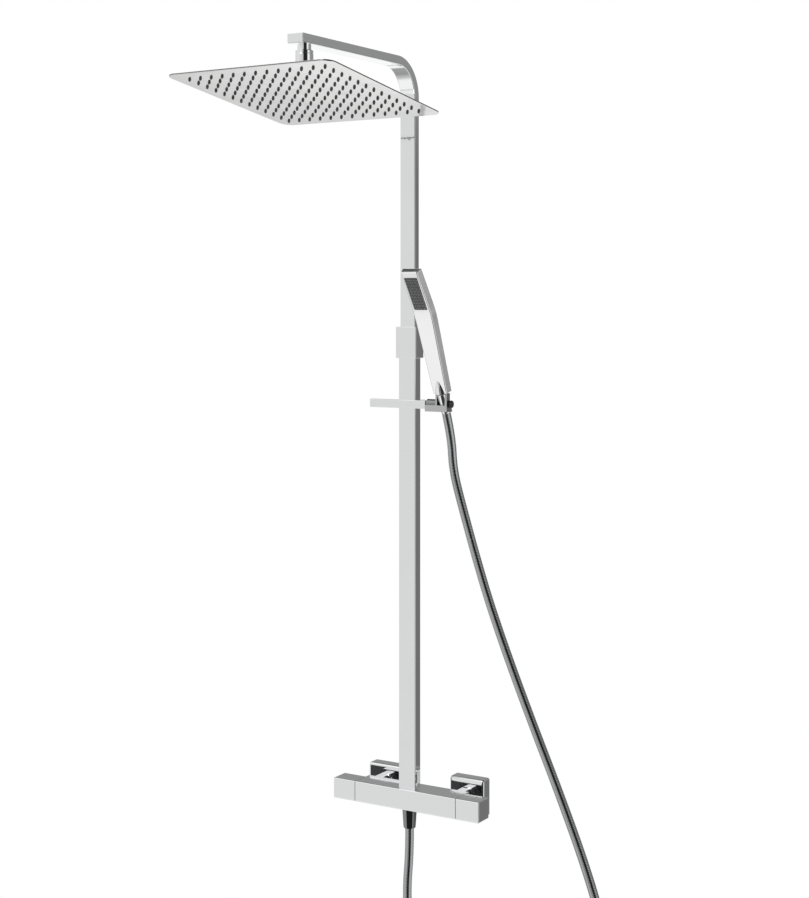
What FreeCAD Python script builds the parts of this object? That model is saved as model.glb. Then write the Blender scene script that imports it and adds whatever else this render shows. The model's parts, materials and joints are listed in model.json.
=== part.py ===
"""Rainfall shower column: a square thermostatic bar valve on two wall inlets, a telescopic
rectangular riser with an overhead arm and a square rain head on a ball joint, and a slider
that carries a flat handset with its hose.

Millimetres. X runs right along the wall, Y into the wall, Z up. The origin lies on the wall's
surface, midway between the two inlets. Every sub-part is written to parts/NODE.step.
"""

import FreeCAD, Part
import math
import os

V = FreeCAD.Vector
X_AXIS, Y_AXIS, Z_AXIS = V(1, 0, 0), V(0, 1, 0), V(0, 0, 1)

# ---- driving dimensions -------------------------------------------------------------------
FIT = 0.3  # gap between pieces that move past each other
SNUG = 0.1  # gap between pieces that are screwed or pushed together

INLET_SPACING = 150.0  # standard distance between the hot and cold inlets
STUD_R, STUD_LONG = 10.4, 16.0  # half-inch thread that goes into the wall
ESCUTCHEON_SIDE, ESCUTCHEON_DEEP, SHEET = 60.0, 20.0, 1.2
ESCUTCHEON_ROUND = 3.2  # its outer edges
UNION_R, UNION_BORE_R = 11.0, 7.0
UNION_FLANGE, UNION_WASHER = 3.5, 2.0
UNION_NUT_FLATS, UNION_NUT_LIP, UNION_NUT_CHAMFER = 30.0, 5.0, 5.4
CHECK_VALVE_LONG, CHECK_PORT_R, CHECK_PORT_OUT = 11.5, 1.6, 3.6

BAR_SIDE = 32.0  # square section of the valve
BAR_LONG = 262.0  # over both knobs
KNOB_LONG = 40.0
KNOB_GAP = 0.6
BAR_FROM_WALL = 67.0  # the valve's axis, and that of the riser above it
BODY_BEHIND = 26.5  # the fixed body reaches further back than the knobs
BAR_ROUND = 1.2
CARTRIDGE_R, CARTRIDGE_LONG = 12.3, 47.0
SEAL_PLACES, SEAL_WIDE, SEAL_DEEP = (6.0, 20.0, 33.0), 2.0, 1.4  # O-rings along a cartridge
STOP_RING_GAP, STOP_RING_LONG = 2.4, 5.0
SPINDLE_R, SPINDLE_FLAT, SPINDLE_SOCKET = 4.0, 1.0, 12.0
KNOB_WALL, KNOB_BORE_DEEP, KNOB_HUB_R, KNOB_WEB = 2.6, 32.0, 6.5, 4.0
KNOB_BORE_R = BAR_SIDE / 2 - KNOB_WALL
STOP_RING_R = KNOB_BORE_R - STOP_RING_GAP
WAX_R, WAX_TIP_R = 5.5, 3.2
WATERWAY_R = 4.0
NIPPLE_R, NIPPLE_BORE_R, NIPPLE_LONG = 13.2, 8.0, 7.5

LOWER_WIDE, LOWER_DEEP, LOWER_TOP = 30.0, 16.0, 708.0  # fixed riser tube
UPPER_WIDE, UPPER_DEEP, UPPER_BOTTOM = 26.0, 13.0, 450.0  # tube that slides inside it
TUBE_WALL = 1.2
COLLAR_SIDE_WALL, COLLAR_FRONT_WALL = 3.0, 4.0
COLLAR_WIDE, COLLAR_DEEP = LOWER_WIDE + 2 * COLLAR_SIDE_WALL, LOWER_DEEP + 2 * COLLAR_FRONT_WALL
COLLAR_GRIP, COLLAR_TALL = 24.0, 48.0  # how far the collar reaches down the lower tube
COLLAR_BOTTOM = LOWER_TOP - COLLAR_GRIP
COLLAR_SEAL, GRUB_R = 4.0, 2.0
BRACKET_Z = LOWER_TOP - 2.0
BRACKET_WIDE, BRACKET_TALL, BRACKET_THICK = 18.0, 40.0, 6.0
BRACKET_STEM_R, BRACKET_STEM_BORE_R = 7.0, 2.6
BRACKET_SCREW_SPACING, BRACKET_SCREW_R, BRACKET_SCREW_LONG = 27.0, 2.0, 30.0
BRACKET_SCREW_HEAD_R, BRACKET_SCREW_HEAD = 3.7, 2.4

ARM_TOP, ARM_REACH, ARM_BEND_R = 1140.0, 372.0, 52.0  # bend radius at the tube's middle
ARM_CAP_THICK, ARM_TONGUE = 1.5, 5.5  # end cap, and its tongue inside the arm
HEAD_FROM_TIP = 23.0
HEAD_FROM_WALL = ARM_REACH - HEAD_FROM_TIP  # the ball joint's axis
BUSH_R, BUSH_LONG, BUSH_BORE_R, BUSH_SPIGOT_R = 9.5, 8.0, 4.0, 6.0
BUSH_THREAD_R, BUSH_THREAD_LONG = 8.0, 12.0
CONNECTOR_R, CONNECTOR_LONG = 12.4, 24.0
BALL_R, BALL_STEM_R, BALL_BORE_R, BALL_BELOW_NUT = 11.0, 5.0, 2.6, 14.0
BALL_FLANGE, CONNECTOR_WASHER = 2.5, 2.0
LINER_FROM, LINER_TO = 112.0, 150.0  # degrees from the top, where the liners lie
SOCKET_R, SOCKET_NUT_R, SOCKET_SPLIT, SOCKET_NUT_HIGH, SOCKET_CHAMFER = 17.0, 19.0, -1.0, 8.5, 2.5
SOCKET_LIP, SOCKET_MOUTH_R, SOCKET_BORE_R = 3.0, 9.0, 4.5
SHELL_THICK = 0.8  # each liner of the ball joint
HEAD_SIDE, HEAD_CORNER_R, HEAD_RIM = 278.0, 16.0, 1.0
HEAD_FLOOR, MAT_THICK, COVER_THICK = 0.7, 0.8, 0.7
HEAD_THICK = HEAD_FLOOR + MAT_THICK + COVER_THICK
HEAD_BELOW_BALL = 22.0  # from the ball's centre to the middle of the plate
HEAD_BACK = 6.6  # the plate's middle lies this much nearer the wall than its socket
HEAD_TILT, HEAD_TURN = 9.1, -1.7  # degrees: front edge up, and turned about the upright
NOZZLE_ROWS, NOZZLE_MARGIN, NOZZLE_R, NOZZLE_OUT = 13, 24.7, 2.1, 3.0
NOZZLE_PITCH = (HEAD_SIDE - 2 * NOZZLE_MARGIN) / (NOZZLE_ROWS - 1)

BAR_BRACKET_X0, BAR_BRACKET_X1 = -61.5, 38.5  # ends of the slider's front bar
SLIDER_Z, SLIDER_TALL, SLIDER_THICK = 613.85, 12.7, 9.7
CLIP_WALL, CLIP_BACK, LUG_DEEP = 4.7, 2.6, 9.5
PAD_THICK, PAD_HALF_WIDE, PAD_HALF_TALL = 1.9, 8.0, 5.0
CLIP_SCREW_R, CLIP_SCREW_HEAD_R, CLIP_SCREW_HEAD, CLIP_SCREW_GRIP = 1.25, 2.1, 1.8, 5.8

PIVOT = V(67.8, -77.5, 615.5)  # where the holder's axis crosses the handset's
HANDSET_TILT = 23.0  # degrees, top towards the room
PIVOT_PIN_R, BOSS_R = 3.0, 7.0
PIN_INSET, PIN_STOP = 4.0, 17.0  # from the clip's side, and from the handset's axis
HOLDER_HALF, HOLDER_FRONT, HOLDER_BAND_TOP = 9.8, -87.5, 613.7
HOLDER_LOW, HOLDER_HIGH = 604.0, 632.4
HOLDER_MOUTH = 14.5  # opening at the front, wide enough for the hose
HOSE_R, HOSE_BORE_R = 7.0, 3.6
NUT_LOW_S, NUT_HIGH_S, NUT_LOW_R, NUT_HIGH_R = -13.7, 19.8, 7.5, 8.2
LOCK_KNOB_R, LOCK_KNOB_LONG, LOCK_STUD_R = 5.8, 4.0, 2.4

HANDSET_FOOT_S, HANDSET_BEND_S, HANDSET_TOP_S = 20.0, 149.0, 225.0  # along the handset
HANDSET_BEND = 10.4  # degrees, the spray head leans further forward
HANDSET_FOOT_WIDE, HANDSET_BEND_WIDE, HANDSET_TOP_WIDE, HANDSET_THICK = 26.5, 33.0, 30.3, 11.6
HANDSET_BEND_REACH = 14.0  # the bend is spread over this much to each side
HANDSET_WALL, HANDSET_NECK = 1.5, 22.0  # the solid neck above the foot
SPRAY_LOW_S, SPRAY_HIGH_S, SPRAY_WIDE, SPRAY_DEEP = 158.4, 215.8, 22.5, 2.6
SPRAY_ROWS, SPRAY_COLUMNS, SPRAY_PITCH, SPRAY_TEAT_R = 12, 5, 4.4, 0.9
DUCT_WIDE, DUCT_WALL = 10.0, 1.2
BULGE_R, BULGE_LONG = 10.4, 23.0
SPIGOT_R, SPIGOT_BORE_R, SPIGOT_LONG, HANDSET_THROAT_R = 5.9, 3.5, 9.5, 4.6

OUTLET_NUT_FLATS_TOP, OUTLET_NUT_FLATS_LOW, OUTLET_NUT_LONG = 20.5, 17.0, 30.0
OUTLET_R, OUTLET_NECK_R, OUTLET_BORE_R, OUTLET_LONG = 8.6, 8.0, 4.5, 11.0
OUTLET_WASHER, FERRULE_FLANGE = 2.0, 2.4
FOOT_SPIGOT_R, FOOT_BORE_R, FOOT_TALL = 5.0, 3.2, 22.0  # plug in the riser's foot

# The hose's route: out of the handset's nut, down behind the slider, out to the right, round
# a hanging loop and up into the outlet under the valve.
HOSE_UPPER_ROUTE = [
    (67.8, -72.1, 602.8),
    (67.8, -55.3, 563.2),
    (63.2, -42.5, 512.0),
    (76.0, -37.8, 458.5),
    (92.7, -38.1, 407.0),
]
HOSE_LOWER_ROUTE = [
    (92.7, -38.1, 407.0),
    (114.41, -38.49, 340.05),
    (150.5, -41.5, 252.0),
    (198.0, -45.0, 147.0),
    (248.0, -49.0, 43.0),
    (291.5, -52.0, -55.0),
    (321.5, -54.5, -137.0),
    (334.0, -56.0, -218.0),
    (307.0, -58.0, -296.0),
    (229.0, -60.0, -344.0),
    (122.0, -62.0, -346.0),
    (35.0, -64.0, -298.0),
    (-1.5, -66.0, -220.0),
    (-5.3, -67.0, -146.0),
    (0.0, -67.0, -87.0),
    (0.0, -67.0, -47.0),
]

AXIS_Y = -BAR_FROM_WALL
BODY_BACK = AXIS_Y + BODY_BEHIND
NODES = {}


def add(name, shape):
    """Keeps a finished solid, or a group of like solids, under its node's name."""
    NODES[name] = shape


# ---- small shapes -------------------------------------------------------------------------
def block(x0, x1, y0, y1, z0, z1):
    return Part.makeBox(x1 - x0, y1 - y0, z1 - z0, V(x0, y0, z0))


def rod(radius, start, end):
    """A cylinder from one point to another."""
    way = V(*end) - V(*start)
    return Part.makeCylinder(radius, way.Length, V(*start), way)


def pipe(outer, inner, start, end):
    return rod(outer, start, end).cut(rod(inner, start, end))


def cone(radius_start, radius_end, start, end):
    way = V(*end) - V(*start)
    return Part.makeCone(radius_start, radius_end, way.Length, V(*start), way)


def joined(*shapes):
    return shapes[0].fuse(list(shapes[1:])).removeSplitter()


def hexagon_prism(flats_start, flats_end, start, end, corner_way):
    """A six-sided nut blank, tapered if its two widths differ; a corner points corner_way."""
    start, end = V(*start), V(*end)
    way = (end - start).normalize()
    up = V(*corner_way).normalize()
    side = way.cross(up)
    rings = []
    for flats, centre in ((flats_start, start), (flats_end, end)):
        reach = flats / math.sqrt(3)
        turns = [math.radians(60 * k) for k in range(7)]
        ring = [centre + up * (reach * math.cos(t)) + side * (reach * math.sin(t)) for t in turns]
        rings.append(Part.makePolygon(ring))
    return Part.makeLoft(rings, True, True)


def long_edges(shape, way):
    """The straight edges that run along a direction."""
    found = []
    for edge in shape.Edges:
        if isinstance(edge.Curve, Part.Line):
            if abs(edge.Curve.Direction.dot(way)) > 0.999:
                found.append(edge)
    return found


def cord_tube(points, radius):
    """A tube along straight runs joined by tangent arcs, each as large as its runs allow."""
    points = [V(*p) for p in points]
    edges, at, radii = [], points[0], []
    for before, corner, after in zip(points, points[1:], points[2:]):
        back, ahead = before - corner, after - corner
        leg = 0.45 * min(back.Length, ahead.Length)
        half_turn = (math.pi - back.getAngle(ahead)) / 2
        radii.append(leg / math.tan(half_turn))
        back.normalize()
        ahead.normalize()
        start, end = corner + back * leg, corner + ahead * leg
        inward = (back + ahead).normalize()
        middle = corner + inward * (radii[-1] / math.cos(half_turn) - radii[-1])
        edges.append(Part.LineSegment(at, start).toShape())
        edges.append(Part.Arc(start, middle, end).toShape())
        at = end
    edges.append(Part.LineSegment(at, points[-1]).toShape())
    spine = Part.Wire(edges)
    ring = Part.Wire([Part.makeCircle(radius, points[0], points[1] - points[0])])
    tube = spine.makePipeShell([ring], True, True)
    share = tube.Volume / (math.pi * radius**2 * spine.Length)
    print(
        f"hose: {spine.Length:.0f} mm, volume {share:.4f} of section times length,",
        "radii " + " ".join(f"{r:.0f}" for r in radii),
    )
    return tube


# ---- wall inlets --------------------------------------------------------------------------
def inlets():
    """What joins each wall inlet to the valve, from the wall outwards."""
    nipple_end = BODY_BACK + NIPPLE_LONG
    flange_start = nipple_end + UNION_WASHER
    flange_end = flange_start + UNION_FLANGE
    nut_start, nut_end = BODY_BACK + 1.0, flange_end + FIT + UNION_NUT_LIP
    half = ESCUTCHEON_SIDE / 2
    washers, valves = [], []
    for name, x in (("hot", -INLET_SPACING / 2), ("cold", INLET_SPACING / 2)):
        union = joined(
            rod(STUD_R, (x, 0, 0), (x, STUD_LONG, 0)),
            rod(UNION_R, (x, flange_start, 0), (x, 0, 0)),
            rod(NIPPLE_R, (x, flange_start, 0), (x, flange_end, 0)),
        )
        bore = rod(UNION_BORE_R, (x, flange_start - 1, 0), (x, STUD_LONG + 1, 0))
        add(f"{name}_wall_union", union.cut(bore))

        shell = block(x - half, x + half, -ESCUTCHEON_DEEP, 0, -half, half)
        shell = shell.makeFillet(ESCUTCHEON_ROUND, [e for e in shell.Edges if e.BoundBox.YMax < -SHEET])
        shell = shell.makeFillet(0.4 * ESCUTCHEON_ROUND, long_edges(shell, Y_AXIS))
        hollow = block(x - half + SHEET, x + half - SHEET, -ESCUTCHEON_DEEP + SHEET, 1,
                       -half + SHEET, half - SHEET)
        hole = rod(UNION_R + FIT, (x, -ESCUTCHEON_DEEP - 1, 0), (x, 1, 0))
        add(f"{name}_escutcheon", shell.cut(hollow.fuse(hole)))

        nut = hexagon_prism(UNION_NUT_FLATS, UNION_NUT_FLATS, (x, nut_start, 0), (x, nut_end, 0), Z_AXIS)
        chamfer_end = nut_start + UNION_NUT_CHAMFER
        half_flats = UNION_NUT_FLATS / 2
        turned = cone(half_flats + 0.6, half_flats + 6, (x, nut_start, 0), (x, chamfer_end, 0))
        turned = turned.fuse(rod(UNION_NUT_FLATS, (x, chamfer_end, 0), (x, nut_end + 1, 0)))
        thread = rod(NIPPLE_R + SNUG, (x, nut_start - 1, 0), (x, flange_end + FIT, 0))
        throat = rod(UNION_R + SNUG, (x, nut_start, 0), (x, nut_end + 1, 0))
        add(f"{name}_union_nut", nut.common(turned).cut(thread.fuse(throat)))

        washers.append(pipe(NIPPLE_R - 0.6, UNION_BORE_R - 0.5, (x, nipple_end, 0), (x, flange_start, 0)))
        valve_end = nipple_end - 0.5
        valve_start = valve_end - CHECK_VALVE_LONG
        valve = rod(NIPPLE_BORE_R - FIT, (x, valve_start, 0), (x, valve_end, 0))
        out = CHECK_PORT_OUT
        ports = [rod(CHECK_PORT_R, (x + dx, valve_start - 1, dz), (x + dx, valve_end + 1, dz))
                 for dx, dz in ((out, 0), (-out, 0), (0, out), (0, -out))]
        valves.append(valve.cut(ports))
    add("filter_washers", Part.makeCompound(washers))
    add("check_valves", Part.makeCompound(valves))


# ---- the bar valve ------------------------------------------------------------------------
BODY_HALF = BAR_LONG / 2 - KNOB_LONG - KNOB_GAP / 2
KNOB_START = BODY_HALF + KNOB_GAP


def on_bar(x, side):
    """A point on the valve's axis, x from the middle towards one end."""
    return (side * x, AXIS_Y, 0)


def valve_body():
    """The square body with its bores, its two inlet nipples and its two ports."""
    half = BAR_SIDE / 2
    body = block(-BODY_HALF, BODY_HALF, AXIS_Y - half, BODY_BACK, -half, half)
    body = body.makeFillet(BAR_ROUND, long_edges(body, X_AXIS))
    cuts = []
    for side in (-1, 1):
        bore_end = BODY_HALF - CARTRIDGE_LONG - 3
        cuts.append(rod(CARTRIDGE_R + 0.2, on_bar(BODY_HALF + 1, side), on_bar(bore_end, side)))
        x = side * INLET_SPACING / 2
        body = body.fuse(rod(NIPPLE_R, (x, BODY_BACK - 1, 0), (x, BODY_BACK + NIPPLE_LONG, 0)))
        cuts.append(rod(NIPPLE_BORE_R, (x, AXIS_Y + 10, 0), (x, BODY_BACK + NIPPLE_LONG + 1, 0)))
    waterway_half = BODY_HALF - CARTRIDGE_LONG
    cuts.append(rod(WATERWAY_R, on_bar(waterway_half, -1), on_bar(waterway_half, 1)))
    cuts.append(rod(WATERWAY_R, (0, AXIS_Y, -half), (0, AXIS_Y, half + 1)))
    cuts.append(rod(OUTLET_NECK_R + SNUG, (0, AXIS_Y, -half - 1), (0, AXIS_Y, -half + 7)))
    cuts.append(rod(FOOT_SPIGOT_R + SNUG, (0, AXIS_Y, half - 9), (0, AXIS_Y, half + 1)))
    add("valve_body", body.cut(cuts).removeSplitter())


def valve_end(side, cartridge, ring, spindle, knob):
    """A cartridge with its stop ring and spindle, and the square knob; returns its O-rings."""
    half = BAR_SIDE / 2
    inner = BODY_HALF - CARTRIDGE_LONG
    core = rod(CARTRIDGE_R, on_bar(inner, side), on_bar(BODY_HALF - 2, side))
    grooves = [pipe(CARTRIDGE_R + 1, CARTRIDGE_R - SEAL_DEEP,
                    on_bar(inner + s, side), on_bar(inner + s + SEAL_WIDE + 0.4, side))
               for s in SEAL_PLACES]
    socket = rod(SPINDLE_R + 0.05, on_bar(BODY_HALF - SPINDLE_SOCKET, side), on_bar(BODY_HALF, side))
    add(cartridge, core.cut(grooves + [socket]))
    ring_end = BODY_HALF + STOP_RING_LONG
    add(ring, pipe(STOP_RING_R, SPINDLE_R + 1.2, on_bar(BODY_HALF - 2, side), on_bar(ring_end, side)))

    hub_start = ring_end + 1.0
    bore_end = KNOB_START + KNOB_BORE_DEEP
    stem_end = bore_end - KNOB_WEB
    shell = block(KNOB_START, KNOB_START + KNOB_LONG, AXIS_Y - half, AXIS_Y + half, -half, half)
    shell = shell.makeFillet(BAR_ROUND, [e for e in shell.Edges if e.BoundBox.XMax > KNOB_START + 0.5])
    if side < 0:
        shell = shell.mirror(V(0, 0, 0), X_AXIS)
    hollow = rod(KNOB_BORE_R, on_bar(KNOB_START - 1, side), on_bar(bore_end, side))
    hub = rod(KNOB_HUB_R, on_bar(hub_start, side), on_bar(bore_end + 1, side))
    hole = rod(SPINDLE_R + SNUG, on_bar(hub_start - 1, side), on_bar(stem_end, side))
    add(knob, shell.cut(hollow).fuse(hub).cut(hole).removeSplitter())
    stem = rod(SPINDLE_R, on_bar(BODY_HALF - SPINDLE_SOCKET + 0.5, side), on_bar(stem_end - 0.2, side))
    flat_y = AXIS_Y + SPINDLE_R - SPINDLE_FLAT
    flat = block(-BAR_LONG, BAR_LONG, flat_y, flat_y + SPINDLE_R, -SPINDLE_R, SPINDLE_R)
    flat = flat.common(rod(SPINDLE_R + 2, on_bar(hub_start, side), on_bar(bore_end, side)))
    add(spindle, stem.cut(flat))
    seal_out, seal_in = CARTRIDGE_R + SNUG, CARTRIDGE_R - SEAL_DEEP + SNUG
    starts = [inner + place + 0.2 for place in SEAL_PLACES]
    return [pipe(seal_out, seal_in, on_bar(s, side), on_bar(s + SEAL_WIDE, side)) for s in starts]


def bar_valve():
    """The body with a cartridge and a knob on each end."""
    valve_body()
    seals = valve_end(
        -1, "diverter_cartridge", "diverter_stop_ring", "diverter_spindle", "flow_knob")
    seals += valve_end(
        1, "mixing_cartridge", "temperature_stop_ring", "temperature_spindle", "temperature_knob")
    add("cartridge_seals", Part.makeCompound(seals))
    inner = BODY_HALF - CARTRIDGE_LONG
    add("wax_element", joined(
        rod(WAX_R, on_bar(inner - 2.8, 1), on_bar(inner, 1)),
        rod(WAX_TIP_R, on_bar(inner - 14, 1), on_bar(inner - 2, 1)),
    ))


# ---- outlet and the hose's lower end ------------------------------------------------------
def outlet():
    """The nipple under the valve and the tapered nut that holds the hose's lower end."""
    def at(z):
        return (0, AXIS_Y, z)

    under = -BAR_SIDE / 2
    thread_end = under - OUTLET_LONG
    nipple = joined(
        rod(OUTLET_NECK_R, at(under + 6.5), at(under)),
        rod(OUTLET_R, at(under), at(thread_end)),
    )
    add("outlet_nipple", nipple.cut(rod(OUTLET_BORE_R, at(under + 7), at(thread_end - 1))))
    washer_end = thread_end - OUTLET_WASHER
    add("outlet_washer", pipe(OUTLET_R - 0.2, OUTLET_BORE_R, at(thread_end), at(washer_end)))
    nut_top = under - 1.0
    nut_low = nut_top - OUTLET_NUT_LONG
    ferrule_end = washer_end - FERRULE_FLANGE
    nut = hexagon_prism(OUTLET_NUT_FLATS_TOP, OUTLET_NUT_FLATS_LOW, at(nut_top), at(nut_low), X_AXIS)
    thread = rod(OUTLET_R + SNUG, at(nut_top + 1), at(ferrule_end - FIT))
    throat_r = HOSE_R - 1.2
    add("outlet_nut", nut.cut(thread.fuse(rod(throat_r, at(nut_top), at(nut_low - 1)))))
    ferrule = joined(
        rod(OUTLET_R - SNUG, at(washer_end), at(ferrule_end)),
        rod(throat_r - FIT, at(ferrule_end), at(nut_low)),
    )
    add("lower_hose_ferrule", ferrule.cut(rod(HOSE_BORE_R, at(washer_end + 1), at(nut_low - 1))))


# ---- riser, collar and wall bracket -------------------------------------------------------
def rectangular_tube(wide, deep, z0, z1, wall):
    outer = block(-wide / 2, wide / 2, AXIS_Y - deep / 2, AXIS_Y + deep / 2, z0, z1)
    outer = outer.makeFillet(1.0, long_edges(outer, Z_AXIS))
    inner = block(
        -wide / 2 + wall, wide / 2 - wall, AXIS_Y - deep / 2 + wall, AXIS_Y + deep / 2 - wall, z0 - 1, z1 + 1
    )
    return outer.cut(inner)


def riser():
    """The fixed tube, its foot plug, and the collar and bracket that hold its top."""
    bottom = BAR_SIDE / 2
    add("lower_tube", rectangular_tube(LOWER_WIDE, LOWER_DEEP, bottom, LOWER_TOP, TUBE_WALL))
    inner_wide, inner_deep = LOWER_WIDE - 2 * TUBE_WALL, LOWER_DEEP - 2 * TUBE_WALL
    plug = block(
        -inner_wide / 2 + SNUG, inner_wide / 2 - SNUG,
        AXIS_Y - inner_deep / 2 + SNUG, AXIS_Y + inner_deep / 2 - SNUG, bottom, bottom + FOOT_TALL,
    )
    plug = plug.fuse(rod(FOOT_SPIGOT_R, (0, AXIS_Y, bottom - 8.5), (0, AXIS_Y, bottom)))
    bore = rod(FOOT_BORE_R, (0, AXIS_Y, bottom - 9), (0, AXIS_Y, bottom + FOOT_TALL + 1))
    add("riser_foot", plug.cut(bore))

    half_wide, half_deep = COLLAR_WIDE / 2, COLLAR_DEEP / 2
    top = COLLAR_BOTTOM + COLLAR_TALL
    collar = block(-half_wide, half_wide, AXIS_Y - half_deep, AXIS_Y + half_deep, COLLAR_BOTTOM, top)
    collar = collar.makeFillet(0.8, long_edges(collar, Z_AXIS))
    low = block(
        -LOWER_WIDE / 2 - SNUG, LOWER_WIDE / 2 + SNUG,
        AXIS_Y - LOWER_DEEP / 2 - SNUG, AXIS_Y + LOWER_DEEP / 2 + SNUG, COLLAR_BOTTOM - 1, LOWER_TOP,
    )
    high = block(
        -UPPER_WIDE / 2 - FIT, UPPER_WIDE / 2 + FIT,
        AXIS_Y - UPPER_DEEP / 2 - FIT, AXIS_Y + UPPER_DEEP / 2 + FIT, LOWER_TOP - 1, top + 1,
    )
    seal_low, seal_high, seal_out = LOWER_TOP + 5, LOWER_TOP + 5 + COLLAR_SEAL, 2.2
    groove = block(
        -UPPER_WIDE / 2 - seal_out, UPPER_WIDE / 2 + seal_out,
        AXIS_Y - UPPER_DEEP / 2 - seal_out, AXIS_Y + UPPER_DEEP / 2 + seal_out, seal_low, seal_high,
    )
    screw_z = LOWER_TOP + 16
    screw_hole = rod(GRUB_R + SNUG, (-half_wide - 1, AXIS_Y, screw_z), (-UPPER_WIDE / 2, AXIS_Y, screw_z))
    add("riser_collar", collar.cut([low, high, groove, screw_hole]))
    ring = block(
        -UPPER_WIDE / 2 - seal_out + SNUG, UPPER_WIDE / 2 + seal_out - SNUG,
        AXIS_Y - UPPER_DEEP / 2 - seal_out + SNUG, AXIS_Y + UPPER_DEEP / 2 + seal_out - SNUG,
        seal_low, seal_high,
    )
    ring_hole = block(
        -UPPER_WIDE / 2 - 0.05, UPPER_WIDE / 2 + 0.05,
        AXIS_Y - UPPER_DEEP / 2 - 0.05, AXIS_Y + UPPER_DEEP / 2 + 0.05, seal_low - 1, seal_high + 1,
    )
    add("collar_seal", ring.cut(ring_hole))
    grub = rod(GRUB_R, (-half_wide + 0.3, AXIS_Y, screw_z), (-UPPER_WIDE / 2 - SNUG, AXIS_Y, screw_z))
    key_ends = (-half_wide, AXIS_Y, screw_z), (-half_wide + GRUB_R, AXIS_Y, screw_z)
    key = hexagon_prism(GRUB_R, GRUB_R, *key_ends, Z_AXIS)
    add("collar_screw", grub.cut(key))

    collar_back = AXIS_Y + half_deep
    stem_ends = (0, collar_back, BRACKET_Z), (0, -BRACKET_THICK, BRACKET_Z)
    add("bracket_stem", pipe(BRACKET_STEM_R, BRACKET_STEM_BORE_R, *stem_ends))
    wide, tall = BRACKET_WIDE / 2, BRACKET_TALL / 2
    plate = block(-wide, wide, -BRACKET_THICK, 0, BRACKET_Z - tall, BRACKET_Z + tall)
    plate = plate.makeFillet(1.0, [e for e in plate.Edges if e.BoundBox.YMax < -0.5])
    holes, screws = [], []
    head_end = -BRACKET_THICK + BRACKET_SCREW_HEAD
    for side in (-1, 1):
        z = BRACKET_Z + side * BRACKET_SCREW_SPACING / 2
        hole_r = BRACKET_SCREW_R + SNUG
        holes.append(rod(hole_r, (0, -BRACKET_THICK - 1, z), (0, 1, z)))
        holes.append(cone(BRACKET_SCREW_HEAD_R + 0.2, hole_r, (0, -BRACKET_THICK, z), (0, head_end, z)))
        screws.append(joined(
            rod(BRACKET_SCREW_R, (0, 0, z), (0, BRACKET_SCREW_LONG, z)),
            rod(BRACKET_SCREW_R - SNUG, (0, head_end - 0.1, z), (0, 0, z)),
            cone(BRACKET_SCREW_HEAD_R, BRACKET_SCREW_R - SNUG,
                 (0, -BRACKET_THICK + SNUG, z), (0, head_end, z)),
        ))
    add("bracket_plate", plate.cut(holes))
    add("bracket_screws", Part.makeCompound(screws))


# ---- arm and ball joint -------------------------------------------------------------------
def bent_tube(wide, deep):
    """The sliding tube, its bend and the arm, as one solid bar of the given section."""
    middle_z = ARM_TOP - UPPER_DEEP / 2
    bend_z, bend_y = middle_z - ARM_BEND_R, AXIS_Y - ARM_BEND_R
    upright = block(-wide / 2, wide / 2, AXIS_Y - deep / 2, AXIS_Y + deep / 2, UPPER_BOTTOM, bend_z)
    level = block(-wide / 2, wide / 2, -ARM_REACH, bend_y, middle_z - deep / 2, middle_z + deep / 2)
    ring = Part.Face(Part.makePolygon([
        V(-wide / 2, AXIS_Y - deep / 2, bend_z), V(wide / 2, AXIS_Y - deep / 2, bend_z),
        V(wide / 2, AXIS_Y + deep / 2, bend_z), V(-wide / 2, AXIS_Y + deep / 2, bend_z),
        V(-wide / 2, AXIS_Y - deep / 2, bend_z)]))
    bend = ring.revolve(V(0, bend_y, bend_z), X_AXIS, 90)
    return joined(upright, bend, level)


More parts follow.
